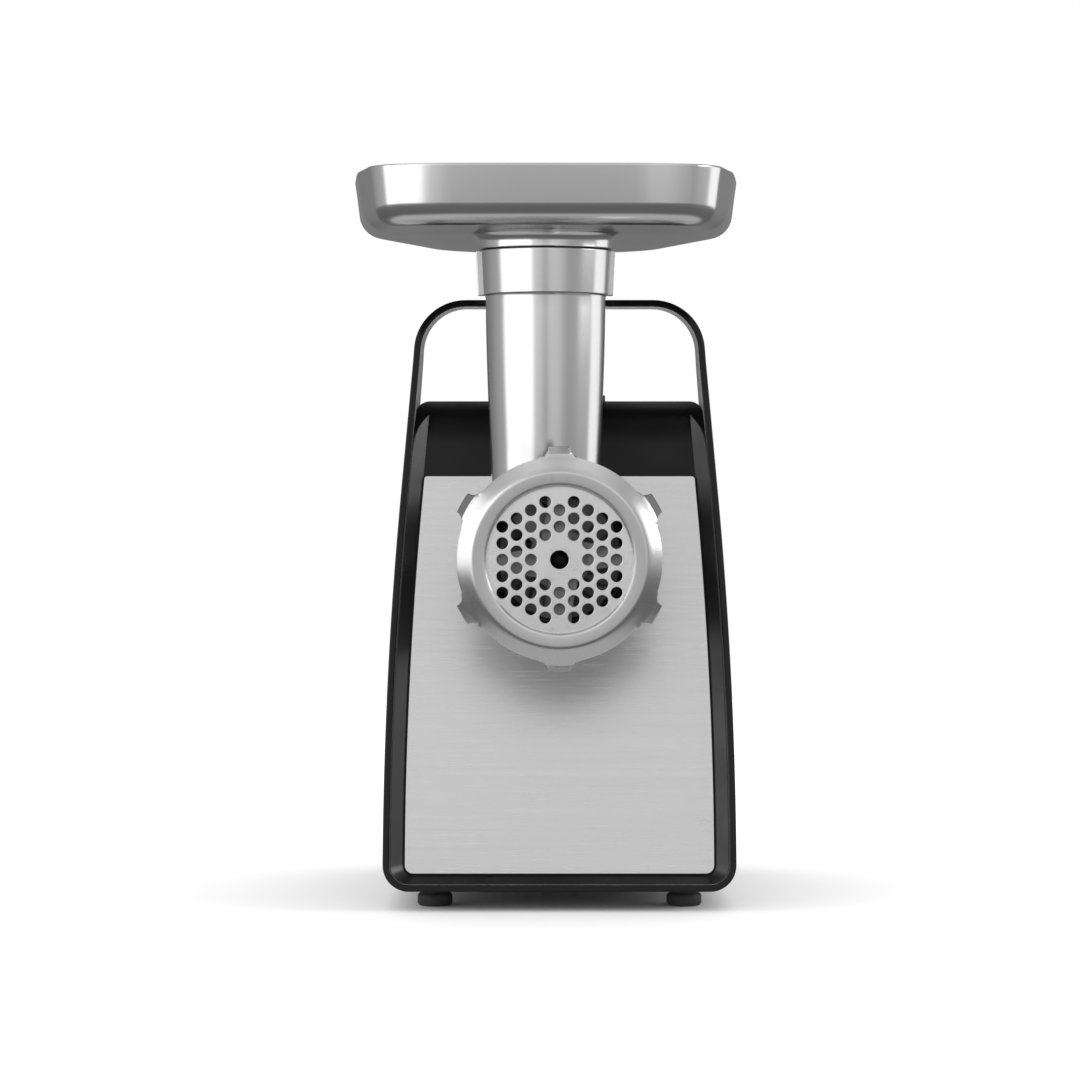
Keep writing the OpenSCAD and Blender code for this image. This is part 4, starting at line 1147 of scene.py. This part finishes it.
@dataclass
class Barrel:
    """The barrel that holds the screw, open to the feed tube."""

    bore: float = 25.2
    drive_hole: float = 11.02
    thread: float = 34.6
    thread_back: float = -172.0
    thread_pitch: float = 3.0
    thread_depth: float = 1.1
    front: float = -190.0
    plate_seat: float = 31.12
    mouth: float = 29.6
    flange: Pair = (-86.0, -82.0)
    flange_r: float = 31.5
    back: float = -68.0
    end_wall: float = -76.0
    spigot: float = 27.2
    feed_bore: float = 20.5
    feed_steps: int = 96
    catch_r: float = 2.7
    catch_z: float = 19.0
    catch_steps: int = 32
    steps: int = 144

    def profile(self) -> list[Pair]:
        """Draws the barrel's closed profile, from the spigot round the front and back through the bore.

        Returns:
            The profile's radii and places along Y.
        """
        front, (low, high), side, start = self.front, self.flange, self.flange_r, self.thread_back
        points = [
            (self.drive_hole, self.back), (self.spigot - 0.8, self.back), (self.spigot, self.back - 0.8),
            (self.spigot, high), (side - 0.6, high), (side, high - 0.6), (side, low + 0.6), (side - 0.5, low),
            (30.6, low - 0.2), (29.7, low - 1.2), (29.4, low - 2.6),
            (30.4, start + 8), (31.0, start + 5), (32.2, start + 2.4), (34.0, start + 1),
        ]
        root = self.thread - self.thread_depth
        for i in range(int((start - front - 3) / self.thread_pitch)):
            y = start - 1 - i * self.thread_pitch
            points += [(self.thread, y - 0.3), (self.thread, y - 1.1), (root, y - 1.8), (root, y - 2.4)]
        return points + [
            (self.thread - 1, front + 1), (self.thread - 1.6, front), (self.plate_seat, front),
            (self.plate_seat, front + 2), (self.mouth, front + 2), (self.mouth, start - 3), (self.bore, start),
            (self.bore, self.end_wall), (self.drive_hole, self.end_wall),
        ]

    def build(self) -> Piece:
        """Builds the barrel and cuts the opening under the feed tube and the catch's hole.

        Returns:
            The barrel.
        """
        bm = spin_profile(self.profile(), SCREW_AXIS, Y_AXIS, self.steps)
        piece = become_piece(bm, "barrel", Palette.HEAD, "head", ["head_barrel"])
        above = Matrix.Translation((*FEED_AT, AXIS_Z + 20))
        behind = Matrix.Translation((0, self.back + 0.5, AXIS_Z + self.catch_z))
        level = Matrix.Rotation(math.radians(90), 4, "X")
        feed = drill(self.feed_bore, 40, self.feed_steps, above)
        cut(piece, [feed, drill(self.catch_r, 12, self.catch_steps, behind @ level)])
        return piece


@dataclass
class FeedTube:
    """The tube that rises from the barrel to the tray, with its collar and side ribs."""

    bore: float = 20.45
    seat: float = 24.0
    seat_z: float = 258.2
    collar_z: float = 255.5
    collar_h: float = 18.5
    top_r: float = 24.5
    taper: float = 2.6
    taper_run: float = 75.0
    taper_curve: float = 1.6
    wall_end: float = 190.0
    low_z: float = 181.0
    bore_end: float = 173.0
    barrel_r: float = 29.9
    fillet: float = 5.0
    rib: Pair = (3.6, 4.0)
    rib_back: float = 1.0
    rib_draft: float = 0.9
    rib_round: float = 0.4
    fillet_steps: int = 6
    side_steps: int = 14
    steps: int = 128

    def radius(self, z: float) -> float:
        """Returns the tube's outer radius at a height."""
        return self.top_r - self.taper * ((self.collar_z - z) / self.taper_run) ** self.taper_curve

    def saddle(self, co: Vector, raise_by: float) -> Vector:
        """Drops a point onto the barrel's round, or some way above it."""
        height = math.sqrt(max(self.barrel_r**2 - co.x**2, 1))
        return Vector((co.x, co.y, AXIS_Z + height + raise_by))

    def rings(self) -> list[Pair]:
        """Lists the rings from the seat over the collar down the tube.

        Returns:
            The rings' radii and heights.
        """
        low, top, seat = self.collar_z, self.collar_z + self.collar_h, self.seat_z
        rings = [
            (self.bore, seat - 0.6), (self.bore + 0.4, seat), (self.seat - 0.1, seat), (self.seat, seat + 0.2),
            (self.seat, top - 0.5), (self.seat + 0.45, top),
        ]
        rings += [(self.top_r + more, z) for more, z in (
            (1.5, top), (2.05, top - 0.25), (2.2, top - 0.8), (1.35, low + 0.7), (1.1, low + 0.2), (0.6, low),
            (0.15, low - 0.3),
        )]
        start, count = low - 1.2, self.side_steps
        heights = [start - (start - self.wall_end) * i / count for i in range(count + 1)]
        return rings + [(self.radius(z), z) for z in heights]

    def build(self) -> Piece:
        """Builds the tube downwards from its collar, fairs it into the barrel and closes it inside.

        Returns:
            The tube.
        """
        bm = bmesh.new()
        bmesh.ops.create_circle(bm, segments=self.steps, radius=1.0, matrix=Matrix.Translation(FEED_AXIS))
        for vert in bm.verts:
            vert.co = to_ring(FEED_AXIS, Z_AXIS, self.bore, self.bore_end)(vert.co)
        first = bm.edges[:]
        ring = run_rings(bm, first, self.rings(), FEED_AXIS, Z_AXIS)
        for i in range(self.fillet_steps + 1):
            turn = math.radians(90 * i / self.fillet_steps)
            reach = self.radius(self.low_z) + self.fillet * (1 - math.cos(turn))
            rise = self.fillet * (1 - math.sin(turn))
            out = to_ring(FEED_AXIS, Z_AXIS, reach, 0)
            ring = extend(bm, ring, lambda co: self.saddle(out(co), rise))
        ring = extend(bm, ring, lambda co: self.saddle(co, -2.0))
        bridge(bm, [ring, first], False)
        clean(bm)
        return become_piece(bm, "feed_tube", Palette.HEAD, "head", [], math.radians(40))

    def build_ribs(self) -> Piece:
        """Builds the two flat ribs on the collar's sides.

        Returns:
            The ribs.
        """
        bm = bmesh.new()
        middle = FEED_AXIS + Vector((0, self.rib_back, self.collar_z + self.collar_h / 2))
        for side in (-1, 1):
            made = bmesh.ops.create_cube(bm, size=1.0)["verts"]
            bmesh.ops.scale(bm, vec=Vector((*self.rib, self.collar_h)), verts=made)
            bmesh.ops.translate(bm, vec=middle + X_AXIS * side * (self.top_r + 2.2), verts=made)
            for vert in made:
                if vert.co.z < self.collar_z + 1:
                    vert.co.x -= side * self.rib_draft
        soften(bm, bm.edges[:], self.rib_round)
        return become_piece(bm, "collar_ribs", Palette.HEAD, "head")


@dataclass
class RingNut:
    """The nut that holds the plate, a round with six lugs run out in hollow curves."""

    front: float = -196.0
    length: float = 25.0
    rim: float = 40.3
    face: float = 34.3
    lug: float = 44.6
    lug_half: float = 4.3
    hollow: float = 4.0
    opening: float = 28.7
    thread: float = 34.7
    plate_front: float = -193.05
    lap: float = 0.3
    lead: float = 1.2
    spare: float = 3.0
    weld: float = 0.02
    lugs: int = 6
    curve_steps: int = 7

    def envelope(self, depth: float) -> float:
        """Works out the greatest radius at a depth behind the front.

        Args:
            depth: The depth.

        Returns:
            The radius.
        """
        stops = [
            (0, self.face), (0.3, self.face + 0.9), (3.6, self.rim - 0.5), (4.1, self.rim + 0.4),
            (4.8, self.rim + 1.2), (self.length - 5, self.lug), (self.length - 0.8, self.lug),
            (self.length, self.lug - 0.8),
        ]
        for (start, r0), (end, r1) in zip(stops, stops[1:]):
            if depth <= end:
                return r0 + (r1 - r0) * max(depth - start, 0) / (end - start)
        return stops[-1][1]

    def sector(self, bm: Mesh) -> None:
        """Draws one lug's share of the nut's outline in the plane of X and Z.

        Args:
            bm: The mesh to draw in.
        """
        half = math.radians(180 / self.lugs)
        reach, side = self.rim + self.hollow - self.lap, self.lug_half + self.hollow
        touch = math.degrees(math.atan2(side, reach)) + self.lead
        pen = Pen(bm, (self.rim * math.cos(half), 0, self.rim * math.sin(half)))
        pen.turn((0, 0, 0), Y_AXIS, math.degrees(half) - touch, 8)
        inside = pen.tip.co.length * 0.999
        for i in range(1, self.curve_steps + 1):
            a = math.radians(180 + 90 * i / self.curve_steps)
            spot = Vector((reach, 0, side)) + Vector((math.cos(a), 0, math.sin(a))) * self.hollow
            if spot.length > inside:
                pen.line(spot)
        pen.line((self.lug + self.spare, 0, self.lug_half), 3)
        pen.line((self.lug + self.spare, 0, 0), 3)
        mirror(bm, bm.verts[:] + bm.edges[:], "Z")

    def build(self) -> Piece:
        """Builds the grip from its outline, then runs the surface back through the bore.

        Returns:
            The nut.
        """
        bm = bmesh.new()
        self.sector(bm)
        turned = Matrix.Rotation(math.radians(-180 / self.lugs), 3, "Y")
        bmesh.ops.rotate(bm, verts=bm.verts[:], cent=Vector(), matrix=turned)
        bmesh.ops.spin(
            bm, geom=bm.verts[:] + bm.edges[:], cent=Vector(), axis=Y_AXIS, angle=math.tau, steps=self.lugs,
            use_duplicate=True, use_merge=True,
        )
        clean(bm, self.weld)
        layer = bm.verts.layers.float.new("reach")
        for vert in bm.verts:
            vert[layer] = vert.co.length
        bmesh.ops.translate(bm, verts=bm.verts[:], vec=Vector((0, self.front, AXIS_Z)))
        row = bm.edges[:]
        end = self.length
        for depth in (0, 0.3, 1.4, 2.5, 3.6, 4.1, 4.8, 8, 12, 16, end - 5, end - 0.8, end):
            if depth:
                row = extend(bm, row)
            for vert in verts_of(row):
                reach = min(vert[layer], self.envelope(depth))
                vert.co = to_ring(SCREW_AXIS, Y_AXIS, reach, self.front + depth)(vert.co)
        front, back = self.front, self.front + end
        first = [e for e in open_edges(bm) if all(abs(v.co.y - front) < 0.001 for v in e.verts)]
        inside = run_rings(bm, first, (
            (self.face - 0.6, front), (self.opening + 1.6, front), (self.opening + 0.7, front + 0.25),
            (self.opening, front + 1.1), (self.opening, self.plate_front), (self.thread, self.plate_front),
            (self.thread, back - 0.6), (self.thread + 0.6, back),
        ), SCREW_AXIS, Y_AXIS)
        bridge(bm, [inside, row], False)
        clean(bm)
        return become_piece(bm, "nut", Palette.NUT, "nut", ["ring_nut"], math.radians(24))


@dataclass
class Tray:
    """The feed tray: a dished sheet with a spout that drops into the collar."""

    rounds: tuple[tuple[float, float, float], ...] = (
        (57.5, -175.0, 13.0), (47.2, -143.0, 29.0), (39.5, -95.0, 40.0), (6.0, -36.0, 55.0)
    )
    floor: float = 281.0
    top: float = 304.7
    sheet: float = 1.5
    wall_out: tuple[Pair, ...] = (
        (13.2, 0), (11.5, 0), (9.9, 0.12), (8.4, 0.5), (7.0, 1.1), (5.7, 1.9), (4.6, 2.9), (3.6, 4.1), (2.8, 5.5),
        (2.2, 7.0), (1.9, 8.4), (0.95, 16),
    )
    rim: tuple[Pair, ...] = (
        (0.0, -1.0), (0.06, -0.45), (0.35, -0.08), (0.75, 0), (1.15, -0.08), (1.45, -0.45), (1.55, -1.0)
    )
    wall_in: tuple[Pair, ...] = (
        (2.5, 16), (3.5, 8.4), (4.3, 6.0), (5.2, 4.6), (6.3, 3.5), (7.6, 2.6), (9.2, 1.9)
    )
    floor_in: tuple[Pair, ...] = ((11.5, 0), (13.2, 0))
    spout_r: float = 23.8
    spout_foot: float = 258.5
    spout_bore: float = 21.8
    neck: float = 27.3
    collar_top: float = 274.3
    sweep: float = 4.6
    bow: float = 1.2
    bow_half: float = 70.0
    bow_from: float = -130.0
    flat_half: float = 38.0
    corner_bow: float = 0.0082
    heart: float = -100.0
    facet: float = 6.0
    facet_turn: float = 4.0
    spout_steps: int = 96

    def trace(self, bm: Mesh) -> list[Edge]:
        """Draws the tray's plan from its span of rounds, at the height 0.

        Args:
            bm: The mesh to draw in.

        Returns:
            The outline's edges.
        """
        bounds: list[float] = [-90.0]
        for (x0, y0, r0), (x1, y1, r1) in zip(self.rounds, self.rounds[1:]):
            gap = Vector((x1 - x0, y1 - y0))
            bounds.append(math.degrees(math.atan2(gap.y, gap.x) - math.acos((r0 - r1) / gap.length)))
        bounds.append(90.0)
        x, y, r = self.rounds[0]
        front = y - r
        pen = Pen(bm, (0, front, 0)).line((x, front, 0), 16)
        for (x, y, r), low, high in zip(self.rounds, bounds, bounds[1:]):
            start = Vector((x + r * math.cos(math.radians(low)), y + r * math.sin(math.radians(low)), 0))
            run = (start - pen.tip.co).length
            if run > 0.01:
                pen.line(start, max(int(run / self.facet), 1))
            pen.turn((x, y, 0), Z_AXIS, high - low, max(int((high - low) / self.facet_turn), 3))
        pen.line((0, pen.tip.co.y, 0), 2)
        mirror(bm, bm.verts[:] + bm.edges[:], "X")
        for vert in bm.verts:
            fade = min(max((self.bow_from - vert.co.y) / (self.bow_from - front), 0), 1)
            beyond = max(abs(vert.co.x) - self.flat_half, 0)
            vert.co.y += fade * (self.bow * (vert.co.x / self.bow_half) ** 2 + self.corner_bow * beyond**2)
        bmesh.ops.translate(bm, verts=bm.verts[:], vec=X_AXIS * FEED_AXIS.x)
        return bm.edges[:]

    def build(self) -> Piece:
        """Builds the dish from its floor up its wall, over the rim and back down inside.

        Returns:
            The tray.
        """
        bm = bmesh.new()
        layers = [bm.verts.layers.float.new(name) for name in ("plan_x", "plan_y", "in_x", "in_y")]
        first = row = self.trace(bm)
        heart = Vector((FEED_AXIS.x, self.heart, 0))
        for vert in verts_of(row):
            near = [e.other_vert(vert).co for e in vert.link_edges]
            tangent = (near[0] - near[1]).normalized()
            inward = Vector((-tangent.y, tangent.x, 0))
            if inward.dot(vert.co - heart) > 0:
                inward.negate()
            for layer, number in zip(layers, (*vert.co.xy, *inward.xy)):
                vert[layer] = number
        inside = self.floor + self.sheet
        parts = (
            (self.floor, self.wall_out), (self.top, self.rim), (self.floor, self.wall_in), (inside, self.floor_in)
        )
        for number, (distance, z) in enumerate((d, base + rise) for base, part in parts for d, rise in part):
            if number:
                row = extend(bm, row)
            for vert in verts_of(row):
                x, y, in_x, in_y = (vert[layer] for layer in layers)
                vert.co = Vector((x + in_x * distance, y + in_y * distance, z))
        low_hole = self.ring(bm, self.neck + self.sweep + 3, self.floor)
        high_hole = self.ring(bm, self.spout_bore + 4, inside)
        for outline, hole in ((first, low_hole), (row, high_hole)):
            fill(bm, list(outline) + hole)
        self.spout(bm, low_hole, high_hole)
        clean(bm)
        return become_piece(bm, "tray", Palette.TRAY, "tray", ["feed_tray"], math.radians(38))

    def ring(self, bm: Mesh, radius: float, z: float) -> list[Edge]:
        """Adds a circle about the spout's axis.

        Args:
            bm: The tray's mesh.
            radius: The circle's radius.
            z: Its height.

        Returns:
            Its edges.
        """
        old = set(bm.edges)
        place = Matrix.Translation((*FEED_AT, z))
        bmesh.ops.create_circle(bm, segments=self.spout_steps, radius=radius, matrix=place)
        return [e for e in bm.edges if e not in old]

    def spout(self, bm: Mesh, low: list[Edge], high: list[Edge]) -> None:
        """Runs the neck down from the floor, round the spout's foot and up its bore.

        Args:
            bm: The tray's mesh.
            low: The hole in the floor's underside.
            high: The hole in the floor's upper side.
        """
        turns = [math.radians(15 * i) for i in range(7)]
        rings = [
            (self.neck + (self.sweep + 0.2) * (1 - math.sin(turn)), self.floor - self.sweep * (1 - math.cos(turn)))
            for turn in turns
        ]
        side, foot, bore, step = self.spout_r, self.spout_foot, self.spout_bore, self.collar_top
        rings += [
            (self.neck, step + 0.3), (self.neck - 0.3, step), (side + 0.4, step), (side, step - 0.4),
            (side, foot + 0.5), (side - 0.5, foot), (bore + 0.4, foot), (bore, foot + 0.4),
            (bore, self.floor - 0.4), (bore + 0.2, self.floor + 0.5), (bore + 0.7, self.floor + 1.2),
            (bore + 1.6, self.floor + self.sheet),
        ]
        bridge(bm, [run_rings(bm, low, rings, FEED_AXIS, Z_AXIS), high], False)


# ---------------------------------------------------------------- carried-over nodes


@dataclass(frozen=True)
class Dressing:
    """A finish for CAD nodes whose shape is already right.

    Attributes:
        finish: The finish.
        nodes: The nodes that wear it.
        edge: The width of the rounding on their edges, in millimetres; 0 leaves them crisp.
    """

    finish: Finish
    nodes: tuple[str, ...]
    edge: float = 0.0


DRESSINGS = (
    Dressing(Palette.HOUSING, ("rear_housing",), 0.6),
    Dressing(Palette.HOUSING, ("base_plate",), 0.3),
    Dressing(Palette.RUBBER, ("feet",), 0.4),
    Dressing(Palette.HOOP, ("lock_slider", "control_panel"), 0.3),
    Dressing(Palette.CONTROL, ("power_rocker", "reverse_button"), 0.3),
    Dressing(Palette.FITTING, ("cable_gland", "rocker_switch_body", "button_switch_body"), 0.2),
    Dressing(Palette.FITTING, ("cooling_fan", "brush_holders"), 0.2),
    Dressing(Palette.ZINC, ("foot_screws", "socket_screws", "gearbox_screws", "motor_screws")),
    Dressing(Palette.SPRING, ("lock_spring", "button_spring")),
    Dressing(Palette.SOCKET, ("head_socket",), 0.4),
    Dressing(Palette.CASTING, ("gearbox_cover", "gearbox_case", "motor_bracket"), 0.4),
    Dressing(Palette.SHAFT, ("gear_axles", "output_spindle", "rotor_shaft", "motor_bearings")),
    Dressing(Palette.GEAR, ("output_gear", "motor_pinion")),
    Dressing(Palette.NYLON, ("second_gear", "first_gear", "barrel_bush")),
    Dressing(Palette.BRONZE, ("output_bearing",)),
    Dressing(Palette.CORE, ("rotor_core", "stator_core")),
    Dressing(Palette.COPPER, ("commutator", "field_windings")),
    Dressing(Palette.CARBON, ("carbon_brushes",)),
    Dressing(Palette.BOARD, ("circuit_board",), 0.2),
    Dressing(Palette.SCREW, ("auger",)),
    Dressing(Palette.BLADE, ("knife",), 0.2),
    Dressing(Palette.PLATE, ("hole_plate",), 0.15),
)


@dataclass
class Carried:
    """The CAD nodes that stay, each in its finish."""

    weld_reach: float = 0.000002
    edge_rows: int = 2
    edge_limit: float = 50.0

    def dress(self) -> None:
        """Gives every carried-over node its material and its rounded edges."""
        for dressing in DRESSINGS:
            for name in dressing.nodes:
                self.dress_node(name, dressing)

    def dress_node(self, name: str, dressing: Dressing) -> None:
        """Dresses one node.

        Args:
            name: The node's name.
            dressing: Its finish and edge.
        """
        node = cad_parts[name]
        node.data.materials.clear()
        node.data.materials.append(dressing.finish.material())
        if dressing.edge:
            weld = node.modifiers.new("weld", "WELD")
            weld.merge_threshold = self.weld_reach
            bevel = node.modifiers.new("edges", "BEVEL")
            bevel.width = dressing.edge * MM
            bevel.segments = self.edge_rows
            bevel.limit_method = "ANGLE"
            bevel.angle_limit = math.radians(self.edge_limit)
            bevel.use_clamp_overlap = True
            bevel.harden_normals = False
        log.info("%s wears %s", name, dressing.finish.name)


# ---------------------------------------------------------------- the studio


@dataclass(frozen=True)
class Softbox:
    """A rectangular soft lamp that looks at the grinder."""

    name: str
    place: tuple[float, float, float]
    size: Pair
    power: float
    target: tuple[float, float, float] = (0.0, -0.05, 0.15)

    def build(self) -> None:
        """Adds the lamp to the scene."""
        data = bpy.data.lights.new(self.name, "AREA")
        data.shape = "RECTANGLE"
        data.size, data.size_y = self.size
        data.energy = self.power
        lamp = bpy.data.objects.new(self.name, data)
        bpy.context.scene.collection.objects.link(lamp)
        lamp.location = self.place
        lamp.rotation_euler = (Vector(self.target) - Vector(self.place)).to_track_quat("-Z", "Y").to_euler()


@dataclass
class Studio:
    """The pale floor, the bright background, the lamps and the camera.

    The world's strengths hold for reflections; the camera itself sees pure white.
    """

    floor_tone: float = 0.8
    floor_roughness: float = 0.9
    floor_glow: float = 0.64
    floor_share: float = 0.02
    floor_gloss: float = 0.2
    floor_near: Pair = (0.23, 0.36)
    floor_size: float = 1.4
    floor_drop: float = 0.0002
    # floor_reach and floor_depth shape the painted contact shadow in the floor's glow
    floor_reach: float = 0.4
    floor_depth: float = 1.05
    floor_steps: int = 128
    floor_samples: int = 8
    fill: float = 0.55
    front: float = 0.55
    beside: float = 0.93
    back: float = 0.25
    side_reach: Pair = (0.4, 0.7)
    middle_reach: Pair = (0.02, 0.16)
    back_reach: Pair = (0.2, 0.9)
    lens: float = 123.07
    sensor: float = 36
    shift: Pair = (-0.01806, -0.0565)
    clip: Pair = (0.05, 100)
    eye: tuple[float, float, float] = (0.0, -1.636, 0.1806)
    lamps: tuple[Softbox, ...] = field(default_factory=lambda: (
        Softbox("key_left", (-1.4, -1.06, 0.42), (2.1, 1.7), 18),
        Softbox("rim_right", (1.7, 0.72, 0.28), (1.2, 0.7), 2.9),
        Softbox("high_right", (2.3, -0.45, 0.9), (1.2, 0.95), 17),
        Softbox("front_high", (0.0, -3.2, 0.95), (1.8, 1.1), 2.4),
        Softbox("top", (0.0, 0.0, 2.2), (1.8, 1.8), 3.2),
    ))

    def build(self) -> None:
        """Builds the studio."""
        self.build_world()
        self.build_floor()
        for lamp in self.lamps:
            lamp.build()
        self.build_camera()
        bpy.context.scene.view_settings.view_transform = "Standard"

    def build_world(self) -> None:
        """Makes a background that is white to the camera, shaped in reflections and a plain fill elsewhere."""
        world = bpy.data.worlds.new("studio")
        bpy.context.scene.world = world
        nodes = Wiring(world)
        camera, _, seen = nodes.rays()
        ways = nodes.node("TexCoord").outputs["Generated"]
        parts = nodes.node("SeparateXYZ", Vector=ways).outputs
        aside = nodes.calc(Operation.SIZE, parts["X"])
        outer = nodes.ramp(aside, self.side_reach, (self.beside, self.front))
        inner = nodes.ramp(aside, self.middle_reach, (self.front, outer))
        front = nodes.ramp(parts["Y"], self.back_reach, (inner, self.back))
        bright = nodes.calc(Operation.LARGER, camera, front)
        strength = nodes.node("Mix", Factor=seen, A=self.fill, B=bright).outputs["Result"]
        background = nodes.node("Background", Color=(1, 1, 1, 1), Strength=strength)
        nodes.node("OutputWorld", Surface=background.outputs["Background"])

    def build_floor(self) -> None:
        """Lays a round pale floor that keeps the object's shadow and reads white elsewhere; its glow fades by
        ambient occlusion near the object, a painted contact shadow, and it reads darker in reflections away from its
        middle.
        """
        bm = bmesh.new()
        bmesh.ops.create_circle(bm, cap_ends=True, segments=self.floor_steps, radius=self.floor_size)
        floor = link_object(bm, "floor")
        floor.location.z = -self.floor_drop
        material = bpy.data.materials.new("floor_white")
        graph = Graph(material)
        graph.set(Roughness=self.floor_roughness)
        camera, glossy, seen = graph.rays()
        pale, dim = ((tone, tone, tone, 1) for tone in (self.floor_tone, self.floor_tone * self.floor_gloss))
        distance = graph.node("VectorMath")
        distance.operation = "LENGTH"
        graph.give(distance.inputs[0], graph.place)
        far = graph.ramp(distance.outputs["Value"], self.floor_near, (0, 1))
        graph.colour(graph.calc(Operation.TIMES, far, glossy), pale, dim)
        # painted shadow: ambient occlusion dims the floor's glow near the object
        near = graph.node("AmbientOcclusion", Distance=self.floor_reach)
        near.samples = self.floor_samples
        free = graph.calc(Operation.POWER, near.outputs["AO"], self.floor_depth)
        shown = graph.calc(Operation.TIMES_AND_ADD, seen, self.floor_share, camera)
        strength = graph.calc(Operation.TIMES, graph.calc(Operation.TIMES, shown, free), self.floor_glow)
        glow = graph.node("Emission", Strength=strength)
        both = graph.node("AddShader")
        graph.give(both.inputs[0], graph.shader.outputs["BSDF"])
        graph.give(both.inputs[1], glow.outputs["Emission"])
        graph.feed(graph.output, Surface=both.outputs["Shader"])
        floor.data.materials.append(material)

    def build_camera(self) -> None:
        """Adds the camera, level and square to the front."""
        data = bpy.data.cameras.new("camera")
        data.lens, data.sensor_width = self.lens, self.sensor
        data.shift_x, data.shift_y = self.shift
        data.clip_start, data.clip_end = self.clip
        camera = bpy.data.objects.new("camera", data)
        bpy.context.scene.collection.objects.link(camera)
        camera.location = self.eye
        camera.rotation_euler = (math.radians(90), 0, 0)
        bpy.context.scene.camera = camera


# ---------------------------------------------------------------- putting it together


def main() -> None:
    """Builds every piece, dresses the carried-over nodes and sets up the studio."""
    logging.basicConfig(level=logging.INFO, format="%(name)s: %(message)s")
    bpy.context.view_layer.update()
    Studio().build()
    hoop = Hoop().build()
    Surround().build()
    Fascia().build()
    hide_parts("front_frame")
    Panel().build()
    Barrel().build()
    tube = FeedTube()
    tube.build()
    tube.build_ribs()
    RingNut().build()
    Tray().build()
    Carried().dress()


if __name__ == "__main__":
    main()
